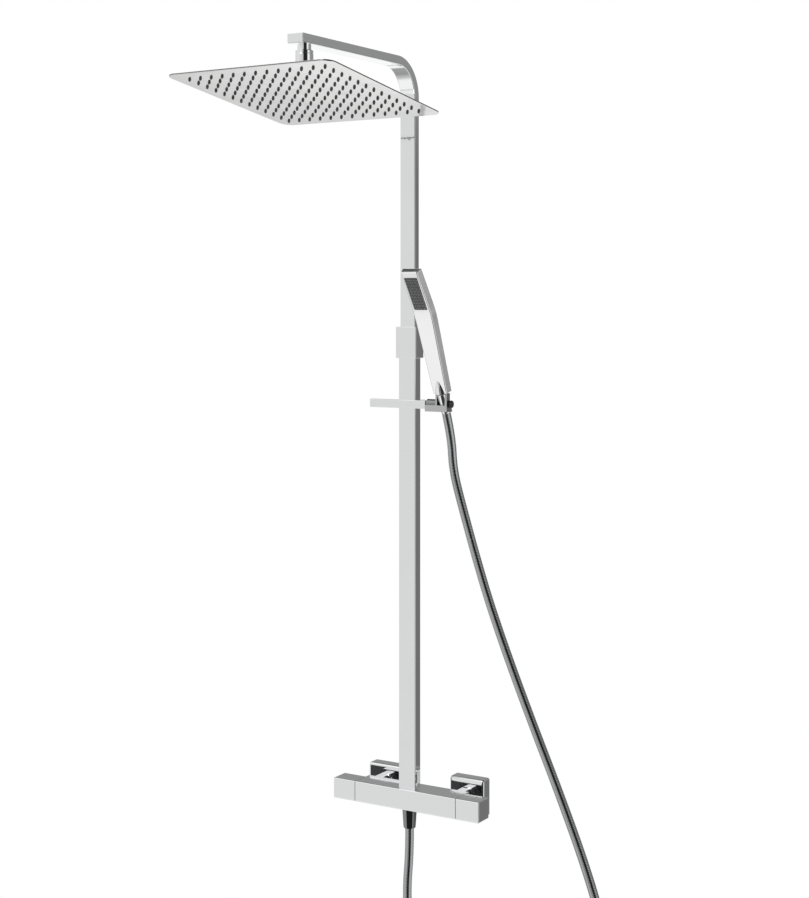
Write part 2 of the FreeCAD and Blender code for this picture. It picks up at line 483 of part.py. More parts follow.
def arm():
    """The overhead arm: a bent tube, its end cap, and the bush that the head hangs from."""
    outer = bent_tube(UPPER_WIDE, UPPER_DEEP)
    inner = bent_tube(UPPER_WIDE - 2 * TUBE_WALL, UPPER_DEEP - 2 * TUBE_WALL)
    cap_thick = ARM_CAP_THICK
    inner = inner.fuse(block(
        -UPPER_WIDE / 2 + TUBE_WALL, UPPER_WIDE / 2 - TUBE_WALL,
        AXIS_Y - UPPER_DEEP / 2 + TUBE_WALL, AXIS_Y + UPPER_DEEP / 2 - TUBE_WALL,
        UPPER_BOTTOM - 1, UPPER_BOTTOM + 1))
    under = ARM_TOP - UPPER_DEEP
    tip = block(-UPPER_WIDE, UPPER_WIDE, -ARM_REACH - 1, -ARM_REACH + cap_thick, under - 1, ARM_TOP + 1)
    spigot_r = BUSH_SPIGOT_R
    hole_top = under + TUBE_WALL + 1
    hole = rod(spigot_r + SNUG, (0, -HEAD_FROM_WALL, under - 1), (0, -HEAD_FROM_WALL, hole_top))
    add("overhead_arm", outer.cut([inner, tip, hole]))

    cap = block(-UPPER_WIDE / 2, UPPER_WIDE / 2, -ARM_REACH, -ARM_REACH + cap_thick, under, ARM_TOP)
    tongue = block(
        -UPPER_WIDE / 2 + TUBE_WALL + SNUG, UPPER_WIDE / 2 - TUBE_WALL - SNUG,
        -ARM_REACH + cap_thick, -ARM_REACH + cap_thick + ARM_TONGUE,
        under + TUBE_WALL + SNUG, ARM_TOP - TUBE_WALL - SNUG)
    add("arm_end_cap", joined(cap, tongue))

    def at(z):
        return (0, -HEAD_FROM_WALL, z)

    bush_low = under - BUSH_LONG
    nut_low = bush_low - CONNECTOR_LONG
    thread_low = bush_low - BUSH_THREAD_LONG
    bush = joined(
        rod(BUSH_R, at(under), at(bush_low)),
        rod(spigot_r, at(under + TUBE_WALL + 1.5), at(under)),
        rod(BUSH_THREAD_R, at(bush_low), at(thread_low)),
    )
    add("arm_bush", bush.cut(rod(BUSH_BORE_R, at(under + 5), at(thread_low - 1))))
    washer_low = thread_low - CONNECTOR_WASHER
    add("connector_washer", pipe(BUSH_THREAD_R - 0.2, BUSH_BORE_R - 0.4, at(thread_low), at(washer_low)))
    flange_low = washer_low - BALL_FLANGE
    shell = rod(CONNECTOR_R, at(bush_low), at(nut_low))
    room = rod(BUSH_THREAD_R + SNUG, at(bush_low + 1), at(flange_low - SNUG))
    throat = rod(BALL_STEM_R + SNUG, at(bush_low), at(nut_low - 1))
    add("connector_nut", shell.cut(room.fuse(throat)))
    centre = nut_low - BALL_BELOW_NUT
    ball = joined(
        rod(BUSH_THREAD_R, at(washer_low), at(flange_low)),
        rod(BALL_STEM_R, at(flange_low), at(centre)),
        Part.makeSphere(BALL_R, V(*at(centre))),
    )
    add("ball_stud", ball.cut(rod(BALL_BORE_R, at(washer_low + 1), at(centre - BALL_R - 1))))
    return V(0, -HEAD_FROM_WALL, centre)


# ---- rain head ----------------------------------------------------------------------------
def bowl(inner, outer, polar_from, polar_to, centre):
    """A zone of a spherical shell between two polar angles, counted in degrees from the top."""
    def spot(radius, polar):
        angle = math.radians(polar)
        return centre + V(radius * math.sin(angle), 0, radius * math.cos(angle))

    middle = (polar_from + polar_to) / 2
    edges = [
        Part.Arc(spot(outer, polar_from), spot(outer, middle), spot(outer, polar_to)).toShape(),
        Part.LineSegment(spot(outer, polar_to), spot(inner, polar_to)).toShape(),
        Part.Arc(spot(inner, polar_to), spot(inner, middle), spot(inner, polar_from)).toShape(),
        Part.LineSegment(spot(inner, polar_from), spot(outer, polar_from)).toShape(),
    ]
    return Part.Face(Part.Wire(edges)).revolve(centre, Z_AXIS, 360)


def rounded_plate(side, corner, z0, z1):
    """A square plate of the head, whose middle lies HEAD_BACK behind the socket."""
    plate = block(-side / 2, side / 2, HEAD_BACK - side / 2, HEAD_BACK + side / 2, z0, z1)
    return plate.makeFillet(corner, long_edges(plate, Z_AXIS))


def rain_head(centre):
    """The head is drawn level about its ball, then tilted and turned as it hangs."""
    gap = FIT
    liner_in = BALL_R + gap
    liner_mid = liner_in + SHELL_THICK + gap
    cup_r = liner_mid + SHELL_THICK + gap
    add("swivel_liner", bowl(liner_in, liner_in + SHELL_THICK, LINER_FROM, LINER_TO, centre))
    add("tilt_liner", bowl(liner_mid, liner_mid + SHELL_THICK, LINER_FROM, LINER_TO, centre))

    origin = V(0, 0, 0)
    plate_low = -HEAD_BELOW_BALL - HEAD_THICK / 2
    plate_high = plate_low + HEAD_THICK
    split, nut_high = SOCKET_SPLIT, SOCKET_NUT_HIGH
    cup = rod(SOCKET_R, (0, 0, plate_high), (0, 0, split)).cut(Part.makeSphere(cup_r, origin))
    add("ball_socket", cup.cut(rod(SOCKET_BORE_R, (0, 0, plate_high - 1), (0, 0, 0))))

    nut = rod(SOCKET_NUT_R, (0, 0, split - 9), (0, 0, nut_high))
    nut = nut.makeChamfer(SOCKET_CHAMFER, [e for e in nut.Edges if abs(e.BoundBox.ZMin - nut_high) < 0.01
                                           and abs(e.BoundBox.ZMax - nut_high) < 0.01])
    wide = Part.makeSphere(cup_r, origin).common(rod(cup_r + 1, (0, 0, split - 1), (0, 0, SOCKET_LIP)))
    narrow = Part.makeSphere(liner_in, origin)
    thread = rod(SOCKET_R + SNUG, (0, 0, split - 10), (0, 0, split))
    mouth = rod(SOCKET_MOUTH_R, (0, 0, 0), (0, 0, nut_high + 1))
    add("socket_nut", nut.cut([wide, narrow, thread, mouth]))

    tray = rounded_plate(HEAD_SIDE, HEAD_CORNER_R, plate_low, plate_high)
    well_low = plate_low + HEAD_FLOOR
    mat_high = well_low + MAT_THICK
    inner_side, inner_corner = HEAD_SIDE - 2 * HEAD_RIM, HEAD_CORNER_R - HEAD_RIM
    tray = tray.cut(rounded_plate(inner_side, inner_corner, well_low, plate_high + 1))
    holes, teats = [], []
    middle = (NOZZLE_ROWS - 1) / 2
    for i in range(NOZZLE_ROWS):
        for j in range(NOZZLE_ROWS):
            x, y = (i - middle) * NOZZLE_PITCH, HEAD_BACK + (j - middle) * NOZZLE_PITCH
            holes.append(rod(NOZZLE_R + 0.2, (x, y, plate_low - 1), (x, y, well_low + 1)))
            teats.append(cone(NOZZLE_R, NOZZLE_R - 0.5, (x, y, well_low), (x, y, plate_low - NOZZLE_OUT)))
    add("head_tray", tray.cut(holes))
    inner_side -= 2 * 0.2
    mat = rounded_plate(inner_side, inner_corner, well_low, mat_high)
    add("nozzle_mat", mat.fuse(teats).removeSplitter())
    cover = rounded_plate(inner_side, inner_corner, mat_high, plate_high)
    add("head_cover", cover.cut(rod(SOCKET_BORE_R, (0, 0, mat_high - 1), (0, 0, plate_high + 1))))
    for name in ("ball_socket", "socket_nut", "head_tray", "nozzle_mat", "head_cover"):
        shape = NODES[name]
        shape.rotate(origin, X_AXIS, -HEAD_TILT)
        shape.rotate(origin, Z_AXIS, HEAD_TURN)
        shape.translate(centre)


# ---- slider -------------------------------------------------------------------------------
def slider():
    """The front bar with its pivot lug, and the clip that holds it round the lower tube."""
    z0, z1 = SLIDER_Z - SLIDER_TALL / 2, SLIDER_Z + SLIDER_TALL / 2
    tube_front, tube_back = AXIS_Y - LOWER_DEEP / 2, AXIS_Y + LOWER_DEEP / 2
    back = tube_front - FIT
    front = back - SLIDER_THICK
    clip_half = LOWER_WIDE / 2 + FIT + CLIP_WALL
    lug_back = PIVOT.y + LUG_DEEP
    bar = block(BAR_BRACKET_X0, BAR_BRACKET_X1, front, back, z0, z1)
    lug = block(clip_half + 0.3, BAR_BRACKET_X1, back - 1, lug_back, z0, z1)
    pin_hole = rod(PIVOT_PIN_R + 0.05, (clip_half + PIN_INSET, PIVOT.y, PIVOT.z),
                   (BAR_BRACKET_X1 + 1, PIVOT.y, PIVOT.z))
    screw_x, screw_z = LOWER_WIDE / 2 + FIT + CLIP_WALL / 2, SLIDER_Z
    clip_back = tube_back + FIT + PAD_THICK + CLIP_BACK
    head_start = clip_back - CLIP_SCREW_HEAD - 0.2
    cuts, screws = [pin_hole], []
    clip_cuts = [block(-LOWER_WIDE / 2 - FIT, LOWER_WIDE / 2 + FIT, back - 1, tube_back + FIT, z0, z1)]
    for side in (-1, 1):
        x = side * screw_x
        grip_end = back - CLIP_SCREW_GRIP - 0.2
        cuts.append(rod(CLIP_SCREW_R + 0.05, (x, grip_end, screw_z), (x, back + 1, screw_z)))
        clip_cuts.append(rod(CLIP_SCREW_R + SNUG, (x, back - 1, screw_z), (x, clip_back, screw_z)))
        head_ends = (x, head_start, screw_z), (x, clip_back + 1, screw_z)
        clip_cuts.append(rod(CLIP_SCREW_HEAD_R + SNUG, *head_ends))
        screws.append(joined(
            rod(CLIP_SCREW_R, (x, back - CLIP_SCREW_GRIP, screw_z), (x, head_start + 0.1, screw_z)),
            rod(CLIP_SCREW_HEAD_R, (x, head_start, screw_z), (x, head_start + CLIP_SCREW_HEAD, screw_z)),
        ))
    slider_bar = bar.fuse(lug).removeSplitter()
    slider_bar = slider_bar.makeFillet(0.6, [e for e in slider_bar.Edges if e.BoundBox.YMax < front + 0.01])
    add("slider_bar", slider_bar.cut(cuts))
    clip = block(-clip_half, clip_half, back, clip_back, z0 + 0.5, z1 - 0.5)
    pad_y0, pad_y1 = tube_back + SNUG, tube_back + SNUG + PAD_THICK
    pocket = block(-PAD_HALF_WIDE - SNUG, PAD_HALF_WIDE + SNUG, tube_back, pad_y1 + SNUG,
                   SLIDER_Z - PAD_HALF_TALL - SNUG, SLIDER_Z + PAD_HALF_TALL + SNUG)
    add("slider_clip", clip.cut(clip_cuts + [pocket]))
    add("slider_pad", block(-PAD_HALF_WIDE, PAD_HALF_WIDE, pad_y0, pad_y1,
                            SLIDER_Z - PAD_HALF_TALL, SLIDER_Z + PAD_HALF_TALL))
    add("slider_screws", Part.makeCompound(screws))
    pin_start, pin_end = clip_half + PIN_INSET + 0.5, PIVOT.x - PIN_STOP
    add("pivot_pin", rod(PIVOT_PIN_R, (pin_start, PIVOT.y, PIVOT.z), (pin_end, PIVOT.y, PIVOT.z)))


# ---- handset holder -----------------------------------------------------------------------
LEAN = math.radians(HANDSET_TILT)
UP_S = V(0, -math.sin(LEAN), math.cos(LEAN))  # along the handset, towards its spray head
FACE_V = V(0, -math.cos(LEAN), -math.sin(LEAN))  # out of the handset's face


def along(s, x=0.0, v=0.0):
    """A point at s along the handset's axis, x to the right and v out of its face."""
    return PIVOT + UP_S * s + FACE_V * v + X_AXIS * x


def holder():
    """The tilting cradle: boss on the pivot pin, front band, and a tapered cup with a mouth."""
    start_x = BAR_BRACKET_X1 + 0.8
    end_x = PIVOT.x + HOLDER_HALF
    boss_end = PIVOT.x - HOLDER_HALF + 1
    boss = rod(BOSS_R, (start_x, PIVOT.y, PIVOT.z), (boss_end, PIVOT.y, PIVOT.z))
    band = block(start_x, end_x, HOLDER_FRONT, PIVOT.y + 5, HOLDER_LOW, HOLDER_BAND_TOP)
    cheeks = block(PIVOT.x - HOLDER_HALF, end_x, HOLDER_FRONT, PIVOT.y, HOLDER_LOW, HOLDER_HIGH)
    cup = rod(HOLDER_HALF, along(-22), along(22))
    solid = joined(boss, band, cheeks, cup)
    solid = solid.common(block(start_x, end_x, HOLDER_FRONT, PIVOT.y + 40, HOLDER_LOW, HOLDER_HIGH))
    slope = (NUT_HIGH_R - NUT_LOW_R) / (NUT_HIGH_S - NUT_LOW_S)
    reach = 26.0
    clear = [NUT_LOW_R + slope * (s - NUT_LOW_S) + FIT for s in (-reach, reach)]
    seat = cone(clear[0], clear[1], along(-reach), along(reach))
    mouth = block(PIVOT.x - HOLDER_MOUTH / 2, PIVOT.x + HOLDER_MOUTH / 2, HOLDER_FRONT - 1, PIVOT.y,
                  HOLDER_BAND_TOP, HOLDER_HIGH + 1)
    pin_end = PIVOT.x - PIN_STOP + 0.5
    pin_hole = rod(PIVOT_PIN_R + 0.05, (start_x - 1, PIVOT.y, PIVOT.z), (pin_end, PIVOT.y, PIVOT.z))
    stud_r = LOCK_STUD_R
    knob_hole = rod(stud_r + 0.05, (end_x - 6, PIVOT.y, PIVOT.z), (end_x + 1, PIVOT.y, PIVOT.z))
    add("handset_holder", solid.cut([seat, mouth, pin_hole, knob_hole]))

    stud_in = PIVOT.x + NUT_LOW_R + slope * (0 - NUT_LOW_S) + FIT + 0.2
    knob_start = (end_x + FIT, PIVOT.y, PIVOT.z)
    knob = rod(LOCK_KNOB_R, knob_start, (end_x + FIT + LOCK_KNOB_LONG, PIVOT.y, PIVOT.z))
    outer = [e for e in knob.Edges if e.BoundBox.XMin > end_x + LOCK_KNOB_LONG]
    knob = knob.makeFillet(0.8, outer)
    add("lock_knob", joined(knob, rod(stud_r, (stud_in, PIVOT.y, PIVOT.z), (end_x + 1, PIVOT.y, PIVOT.z))))


# ---- handset ------------------------------------------------------------------------------
def handset_frame():
    """Directions of the spray head, which leans further forward than the handle."""
    turn = math.radians(HANDSET_BEND)
    up = UP_S * math.cos(turn) + FACE_V * math.sin(turn)
    face = FACE_V * math.cos(turn) - UP_S * math.sin(turn)
    return up, face


def flat_bar(wide_less, thick_less, s_foot, s_top):
    """The handset's flat body, or the hollow inside it, lofted through its bend."""
    head_up, head_face = handset_frame()
    bend = along(HANDSET_BEND_S)
    reach = HANDSET_BEND_REACH
    foot_wide = HANDSET_FOOT_WIDE
    grow = (HANDSET_BEND_WIDE - foot_wide) / (HANDSET_BEND_S - HANDSET_FOOT_S)
    shrink = (HANDSET_TOP_WIDE - HANDSET_BEND_WIDE) / (HANDSET_TOP_S - HANDSET_BEND_S)
    mid_face = (FACE_V + head_face).normalize()
    drop = reach * math.tan(math.radians(HANDSET_BEND) / 4) / 2
    stations = [
        (along(s_foot), FACE_V, foot_wide + grow * (s_foot - HANDSET_FOOT_S)),
        (along(HANDSET_BEND_S - reach), FACE_V, foot_wide + grow * (HANDSET_BEND_S - reach - HANDSET_FOOT_S)),
        (bend + mid_face * drop, mid_face, HANDSET_BEND_WIDE - 0.3),
        (bend + head_up * reach, head_face, HANDSET_BEND_WIDE + shrink * reach),
        (bend + head_up * (s_top - HANDSET_BEND_S), head_face,
         HANDSET_BEND_WIDE + shrink * (s_top - HANDSET_BEND_S)),
    ]
    rings = []
    for centre, face, wide in stations:
        half_wide, half_thick = wide / 2 - wide_less, HANDSET_THICK / 2 - thick_less
        corners = [centre + X_AXIS * (sx * half_wide) + face * (sv * half_thick)
                   for sx, sv in ((-1, -1), (1, -1), (1, 1), (-1, 1), (-1, -1))]
        rings.append(Part.makePolygon(corners))
    return Part.makeLoft(rings, True, True)


def handset():
    """The flat handset: shell, spray panel, inner waterway and the nut of its hose."""
    head_up, head_face = handset_frame()
    bend = along(HANDSET_BEND_S)

    def on_head(s, x=0.0, v=0.0):
        return bend + head_up * (s - HANDSET_BEND_S) + head_face * v + X_AXIS * x

    def head_block(s0, s1, half_wide, v0, v1):
        corners = [on_head(s0, -half_wide, v0), on_head(s0, half_wide, v0),
                   on_head(s0, half_wide, v1), on_head(s0, -half_wide, v1), on_head(s0, -half_wide, v0)]
        return Part.Face(Part.makePolygon(corners)).extrude(head_up * (s1 - s0))

    half_thick = HANDSET_THICK / 2
    body = flat_bar(0, 0, HANDSET_FOOT_S, HANDSET_TOP_S)
    hollow_start = HANDSET_FOOT_S + HANDSET_NECK
    hollow = flat_bar(HANDSET_WALL, HANDSET_WALL, hollow_start, HANDSET_TOP_S - 2.0)
    bulge = cone(BULGE_R, half_thick - 0.1, along(HANDSET_FOOT_S), along(HANDSET_FOOT_S + BULGE_LONG))
    spigot = rod(SPIGOT_R, along(HANDSET_FOOT_S - SPIGOT_LONG), along(HANDSET_FOOT_S + 1))
    channel = rod(SPIGOT_BORE_R, along(HANDSET_FOOT_S - SPIGOT_LONG - 1), along(hollow_start + 1))
    window = head_block(SPRAY_LOW_S, SPRAY_HIGH_S, SPRAY_WIDE / 2 + SNUG, 0, half_thick + 1)
    add("handset_shell", joined(body, bulge, spigot).cut([hollow, channel, window]))

    panel_out = half_thick - 0.5
    panel_in = panel_out - SPRAY_DEEP
    panel = head_block(SPRAY_LOW_S + SNUG, SPRAY_HIGH_S - SNUG, SPRAY_WIDE / 2, panel_in, panel_out)
    spray_middle = (SPRAY_LOW_S + SPRAY_HIGH_S) / 2
    teats = []
    for i in range(SPRAY_ROWS):
        for j in range(SPRAY_COLUMNS):
            s = spray_middle + (i - (SPRAY_ROWS - 1) / 2) * SPRAY_PITCH
            x = (j - (SPRAY_COLUMNS - 1) / 2) * SPRAY_PITCH
            root, tip = on_head(s, x, panel_out - 0.5), on_head(s, x, half_thick + 0.2)
            teats.append(cone(SPRAY_TEAT_R, SPRAY_TEAT_R - 0.3, root, tip))
    add("spray_panel", panel.fuse(teats).removeSplitter())

    flow = rod(SPIGOT_BORE_R - SNUG, along(HANDSET_FOOT_S - 8), along(HANDSET_FOOT_S - 3))
    add("flow_limiter", flow.cut(rod(1.0, along(HANDSET_FOOT_S - 9), along(HANDSET_FOOT_S - 2))))
    duct_s0, duct_s1 = hollow_start + 0.2, HANDSET_BEND_S - HANDSET_BEND_REACH - 2

    def duct_block(half_wide, half_deep, s0, s1):
        corners = [along(s0, -half_wide, -half_deep), along(s0, half_wide, -half_deep),
                   along(s0, half_wide, half_deep), along(s0, -half_wide, half_deep),
                   along(s0, -half_wide, -half_deep)]
        return Part.Face(Part.makePolygon(corners)).extrude(UP_S * (s1 - s0))

    duct_deep = half_thick - HANDSET_WALL - 0.05
    duct = duct_block(DUCT_WIDE / 2, duct_deep, duct_s0, duct_s1)
    way = duct_block(DUCT_WIDE / 2 - DUCT_WALL, duct_deep - DUCT_WALL, duct_s0 - 1, duct_s1 + 1)
    add("handset_duct", duct.cut(way))

    washer_s = HANDSET_FOOT_S - SPIGOT_LONG
    washer_low = washer_s - 2.0
    add("handset_washer", pipe(SPIGOT_R, SPIGOT_BORE_R, along(washer_low), along(washer_s)))
    nut = cone(NUT_LOW_R, NUT_HIGH_R, along(NUT_LOW_S), along(NUT_HIGH_S))
    flange_s = washer_low - 2.2
    room = rod(SPIGOT_R + SNUG, along(flange_s - SNUG), along(NUT_HIGH_S + 1))
    throat_r = HANDSET_THROAT_R
    add("handset_nut", nut.cut(room.fuse(rod(throat_r, along(NUT_LOW_S - 1), along(NUT_HIGH_S)))))
    ferrule = joined(
        rod(SPIGOT_R - SNUG, along(flange_s), along(washer_low)),
        rod(throat_r - 0.2, along(NUT_LOW_S), along(flange_s)),
    )
    add("upper_hose_ferrule", ferrule.cut(rod(HOSE_BORE_R - 0.8, along(NUT_LOW_S - 1), along(washer_s))))


def hose():
    add("hose_upper", cord_tube(HOSE_UPPER_ROUTE, HOSE_R))
    add("hose_lower", cord_tube(HOSE_LOWER_ROUTE, HOSE_R))


inlets()
bar_valve()
outlet()
riser()
rain_head(arm())
slider()
holder()
handset()
hose()

os.makedirs("parts", exist_ok=True)
for node, shape in NODES.items():
    if not shape.isValid() or shape.Volume <= 0 or not shape.Solids:
        raise ValueError(f"{node} isn't a sound solid")
    shape.exportStep(f"parts/{node}.step")
print(len(NODES), "nodes written")
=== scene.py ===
# %% [markdown]
# # A rainfall shower column in chrome
#
# The real object is plated brass and stainless steel: a square bar valve, a rectangular riser, a
# thin square rain head and a flat hand shower on a metal hose. Almost every surface is a mirror,
# so this lesson is mostly about two things: shapes with clean edges and the right small roundings,
# and a studio for them to reflect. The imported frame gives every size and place.

# %% Load the frame
import json
import math

import bmesh
import bpy
import numpy as np
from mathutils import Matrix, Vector


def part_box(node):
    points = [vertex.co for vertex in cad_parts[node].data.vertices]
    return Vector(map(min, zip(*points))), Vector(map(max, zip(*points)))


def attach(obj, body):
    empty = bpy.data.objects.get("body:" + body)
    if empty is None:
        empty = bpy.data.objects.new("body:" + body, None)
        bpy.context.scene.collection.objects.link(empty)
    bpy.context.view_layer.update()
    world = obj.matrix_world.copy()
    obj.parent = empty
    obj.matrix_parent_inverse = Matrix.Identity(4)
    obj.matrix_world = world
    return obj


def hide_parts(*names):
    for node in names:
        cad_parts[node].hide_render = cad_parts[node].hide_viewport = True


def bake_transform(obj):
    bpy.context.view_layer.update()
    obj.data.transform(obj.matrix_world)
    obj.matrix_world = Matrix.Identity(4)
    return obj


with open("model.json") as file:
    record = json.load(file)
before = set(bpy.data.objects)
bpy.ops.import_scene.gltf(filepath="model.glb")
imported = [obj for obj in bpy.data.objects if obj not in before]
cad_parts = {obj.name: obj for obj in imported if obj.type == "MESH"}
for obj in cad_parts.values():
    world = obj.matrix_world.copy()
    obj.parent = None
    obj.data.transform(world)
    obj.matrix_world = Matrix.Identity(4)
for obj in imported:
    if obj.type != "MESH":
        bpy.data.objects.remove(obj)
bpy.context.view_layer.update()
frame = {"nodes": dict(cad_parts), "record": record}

# %% [markdown]
# ## The camera
#
# The view is from the right and a little above the valve, with upright lines kept nearly upright.
# A long lens that dips only two degrees does that, and a small lens shift moves the frame down.

# %% Camera
LENS_MM, LENS_SHIFT = 67.392, -0.0947
VIEW_TURN = math.radians(31.353)
VIEW_DIP = math.radians(2.058)
CAMERA_PLACE = (1.3404, -2.2822, 0.7678)


def make_camera():
    data = bpy.data.cameras.new("camera")
    data.lens, data.shift_y = LENS_MM, LENS_SHIFT
    data.clip_start, data.clip_end = 0.05, 100
    camera = bpy.data.objects.new("camera", data)
    camera.location = CAMERA_PLACE
    camera.rotation_euler = (math.pi / 2 - VIEW_DIP, 0, VIEW_TURN)
    bpy.context.scene.collection.objects.link(camera)
    bpy.context.scene.camera = camera
    print("camera at", CAMERA_PLACE, "turned", round(math.degrees(VIEW_TURN), 1), "degrees")


make_camera()

# %% [markdown]
# ## Surfaces from arrays
#
# Every new piece here is a grid of points, worked out as one numpy array: one direction of the
# grid runs along the piece and the other goes round it. These helpers turn such a grid into a
# mesh that is closed round the piece, and capped at its two ends with one face each.

# %% Grid helper


def add_piece(name, points, faces, smooth=True):
    """Makes an object whose place is in its mesh, which is what the frame asks of each piece."""
    mesh = bpy.data.meshes.new(name)
    mesh.from_pydata(np.reshape(points, (-1, 3)).tolist(), [], faces)
    mesh.polygons.foreach_set("use_smooth", np.full(len(mesh.polygons), smooth))
    mesh.update()
    piece = bpy.data.objects.new(name, mesh)
    bpy.context.scene.collection.objects.link(piece)
    return piece


def grid_faces(rows, columns):
    """Quads between neighbouring rings of a grid whose rings are closed."""
    i, j = np.meshgrid(np.arange(rows - 1), np.arange(columns), indexing="ij")
    k = (j + 1) % columns
    here, above = i * columns, (i + 1) * columns
    return np.stack([here + j, here + k, above + k, above + j], -1).reshape(-1, 4).tolist()


def tube_piece(name, grid):
    """A closed skin from a (rows, columns, 3) grid: rings joined by quads and a face on each end."""
    rows, columns = grid.shape[:2]
    faces = grid_faces(rows, columns)
    faces.append(list(range(columns))[::-1])
    faces.append(list(range((rows - 1) * columns, rows * columns)))
    return add_piece(name, grid, faces)


def studs(across, along, profile, sides):
    """Small turned shapes on a grid of spots: their x, y and height arrays, and all their faces."""
    height, r = np.array(profile).T
    turn = np.linspace(0, 2 * math.pi, sides, endpoint=False)
    at_x, at_y = (v.ravel()[:, None, None] for v in np.meshgrid(across, along, indexing="ij"))
    x = at_x + r[None, :, None] * np.cos(turn)
    y = at_y - r[None, :, None] * np.sin(turn)
    count, rows, _ = x.shape
    starts = np.arange(count)[:, None] * rows * sides
    quads = (np.array(grid_faces(rows, sides))[None] + starts[..., None]).reshape(-1, 4)
    ring = np.arange(sides)
    caps = (ring[::-1] + starts).tolist() + (ring + starts + (rows - 1) * sides).tolist()
    return x, y, height[None, :, None] + 0 * x, quads.tolist() + caps


# %% [markdown]
# ## The hose
#
# A shower hose is a steel strip wound in a tight spiral round a rubber core, 14 mm thick and 1.5 m
# long. It leaves the hand shower's nut in line with it, passes behind the slider, swings out to
# the right and comes back up to the outlet under the valve in one hanging loop. The route is a
# short list of points on a smooth spline. The spiral is real geometry: along the
# route the radius falls into a narrow groove once per turn, and the groove climbs as it goes
# round, so the rings read as one winding.
#
# The top 20 cm are a piece of their own, and the rest is a second piece.

# %% Hose
HOSE_RADIUS = 0.007
WIND_PITCH = 0.0024
GROOVE = 0.00034
HOSE_SEGMENTS = 18
UPPER_ROUTE = [
    (0.0678, -0.0721, 0.6028),
    (0.0678, -0.0553, 0.5632),
    (0.0632, -0.0425, 0.5120),
    (0.0760, -0.0378, 0.4585),
    (0.0927, -0.0381, 0.4070),
]
LOWER_ROUTE = [
    (0.0927, -0.0381, 0.4070),
    (0.1144, -0.0385, 0.3401),
    (0.1505, -0.0415, 0.2520),
    (0.1980, -0.0450, 0.1470),
    (0.2480, -0.0490, 0.0430),
    (0.2915, -0.0520, -0.0550),
    (0.3215, -0.0545, -0.1370),
    (0.3340, -0.0560, -0.2180),
    (0.3070, -0.0580, -0.2960),
    (0.2290, -0.0600, -0.3440),
    (0.1220, -0.0620, -0.3460),
    (0.0350, -0.0640, -0.2980),
    (-0.0015, -0.0660, -0.2200),
    (-0.0053, -0.0670, -0.1460),
    (0.0000, -0.0670, -0.0870),
    (0.0000, -0.0670, -0.0470),
]


def spline_points(name, route):
    """Follows a smooth NURBS spline through the route and returns the points along it."""
    curve = bpy.data.curves.new(name, "CURVE")
    curve.dimensions = "3D"
    curve.resolution_u = 24
    spline = curve.splines.new("NURBS")
    spline.points.add(len(route) - 1)
    for point, place in zip(spline.points, route):
        point.co = (*place, 1)
    spline.order_u = 3
    spline.use_endpoint_u = True
    holder = bpy.data.objects.new(name, curve)
    bpy.context.scene.collection.objects.link(holder)
    bpy.context.view_layer.update()
    line = bpy.data.meshes.new_from_object(holder)
    points = np.zeros(len(line.vertices) * 3)
    line.vertices.foreach_get("co", points)
    bpy.data.objects.remove(holder)
    bpy.data.meshes.remove(line)
    return points.reshape(-1, 3)


def along_line(points, step):
    """Even steps along a line of points: places, unit directions and distances from its start."""
    lengths = np.concatenate([[0], np.cumsum(np.linalg.norm(np.diff(points, axis=0), axis=1))])
    distance = np.linspace(0, lengths[-1], int(lengths[-1] / step) + 1)
    place = np.stack([np.interp(distance, lengths, points[:, k]) for k in range(3)], -1)
    way = np.gradient(place, axis=0)
    for _ in range(3):  # takes the spline's short facets out of the directions
        way[1:-1] = (way[:-2] + 2 * way[1:-1] + way[2:]) / 4
    way /= np.linalg.norm(way, axis=1)[:, None]
    return place, way, distance


def wound_tube(name, points, radius, start_turn=0.0):
    """Radius falls by a narrow groove once per pitch; the groove's place turns with the angle."""
    place, way, distance = along_line(points, WIND_PITCH / 4)
    side = np.cross(way, (0, 1, 0))
    side /= np.linalg.norm(side, axis=1)[:, None]
    other = np.cross(way, side)
    angle = np.linspace(0, 2 * math.pi, HOSE_SEGMENTS, endpoint=False)
    phase = distance[:, None] / WIND_PITCH - angle[None] / (2 * math.pi) + start_turn
    size = radius - GROOVE * (0.5 + 0.5 * np.cos(2 * math.pi * phase)) ** 2
    across, over = np.cos(angle)[None, :, None], np.sin(angle)[None, :, None]
    out = side[:, None] * across + other[:, None] * over
    grid = place[:, None] + out * size[..., None]
    return tube_piece(name, grid[:, ::-1]), distance[-1]


def make_hose():
    upper_line = spline_points("upper_line", UPPER_ROUTE)
    lower_line = spline_points("lower_line", LOWER_ROUTE)
    upper, upper_long = wound_tube("hose_upper_skin", upper_line, HOSE_RADIUS)
    lower, lower_long = wound_tube("hose_lower_skin", lower_line, HOSE_RADIUS, upper_long / WIND_PITCH)
    print("hose:", round(upper_long, 3), "+", round(lower_long, 3), "m")
    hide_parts("hose_upper")
    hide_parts("hose_lower")
    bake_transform(upper)
    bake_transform(lower)
    for piece, leaves, long, line in ((upper, UPPER_ROUTE[0], upper_long, upper_line),
                                      (lower, LOWER_ROUTE[-1], lower_long, lower_line[::-1])):
        along_line(line, 0.002)[0]
    return upper, lower, upper_line


hose_upper, hose_lower, upper_line = make_hose()

# %% [markdown]
# The hand shower lifts 45 mm straight out of its holder, and the real hose simply follows. Here a
# short, slightly thinner length of hose hides inside the upper one and rides on the hand shower,
# so that it is drawn out when the hand shower is lifted.

# %% The length that is drawn out
PULL_LONG, PULL_THINNER = 0.046, 0.0007


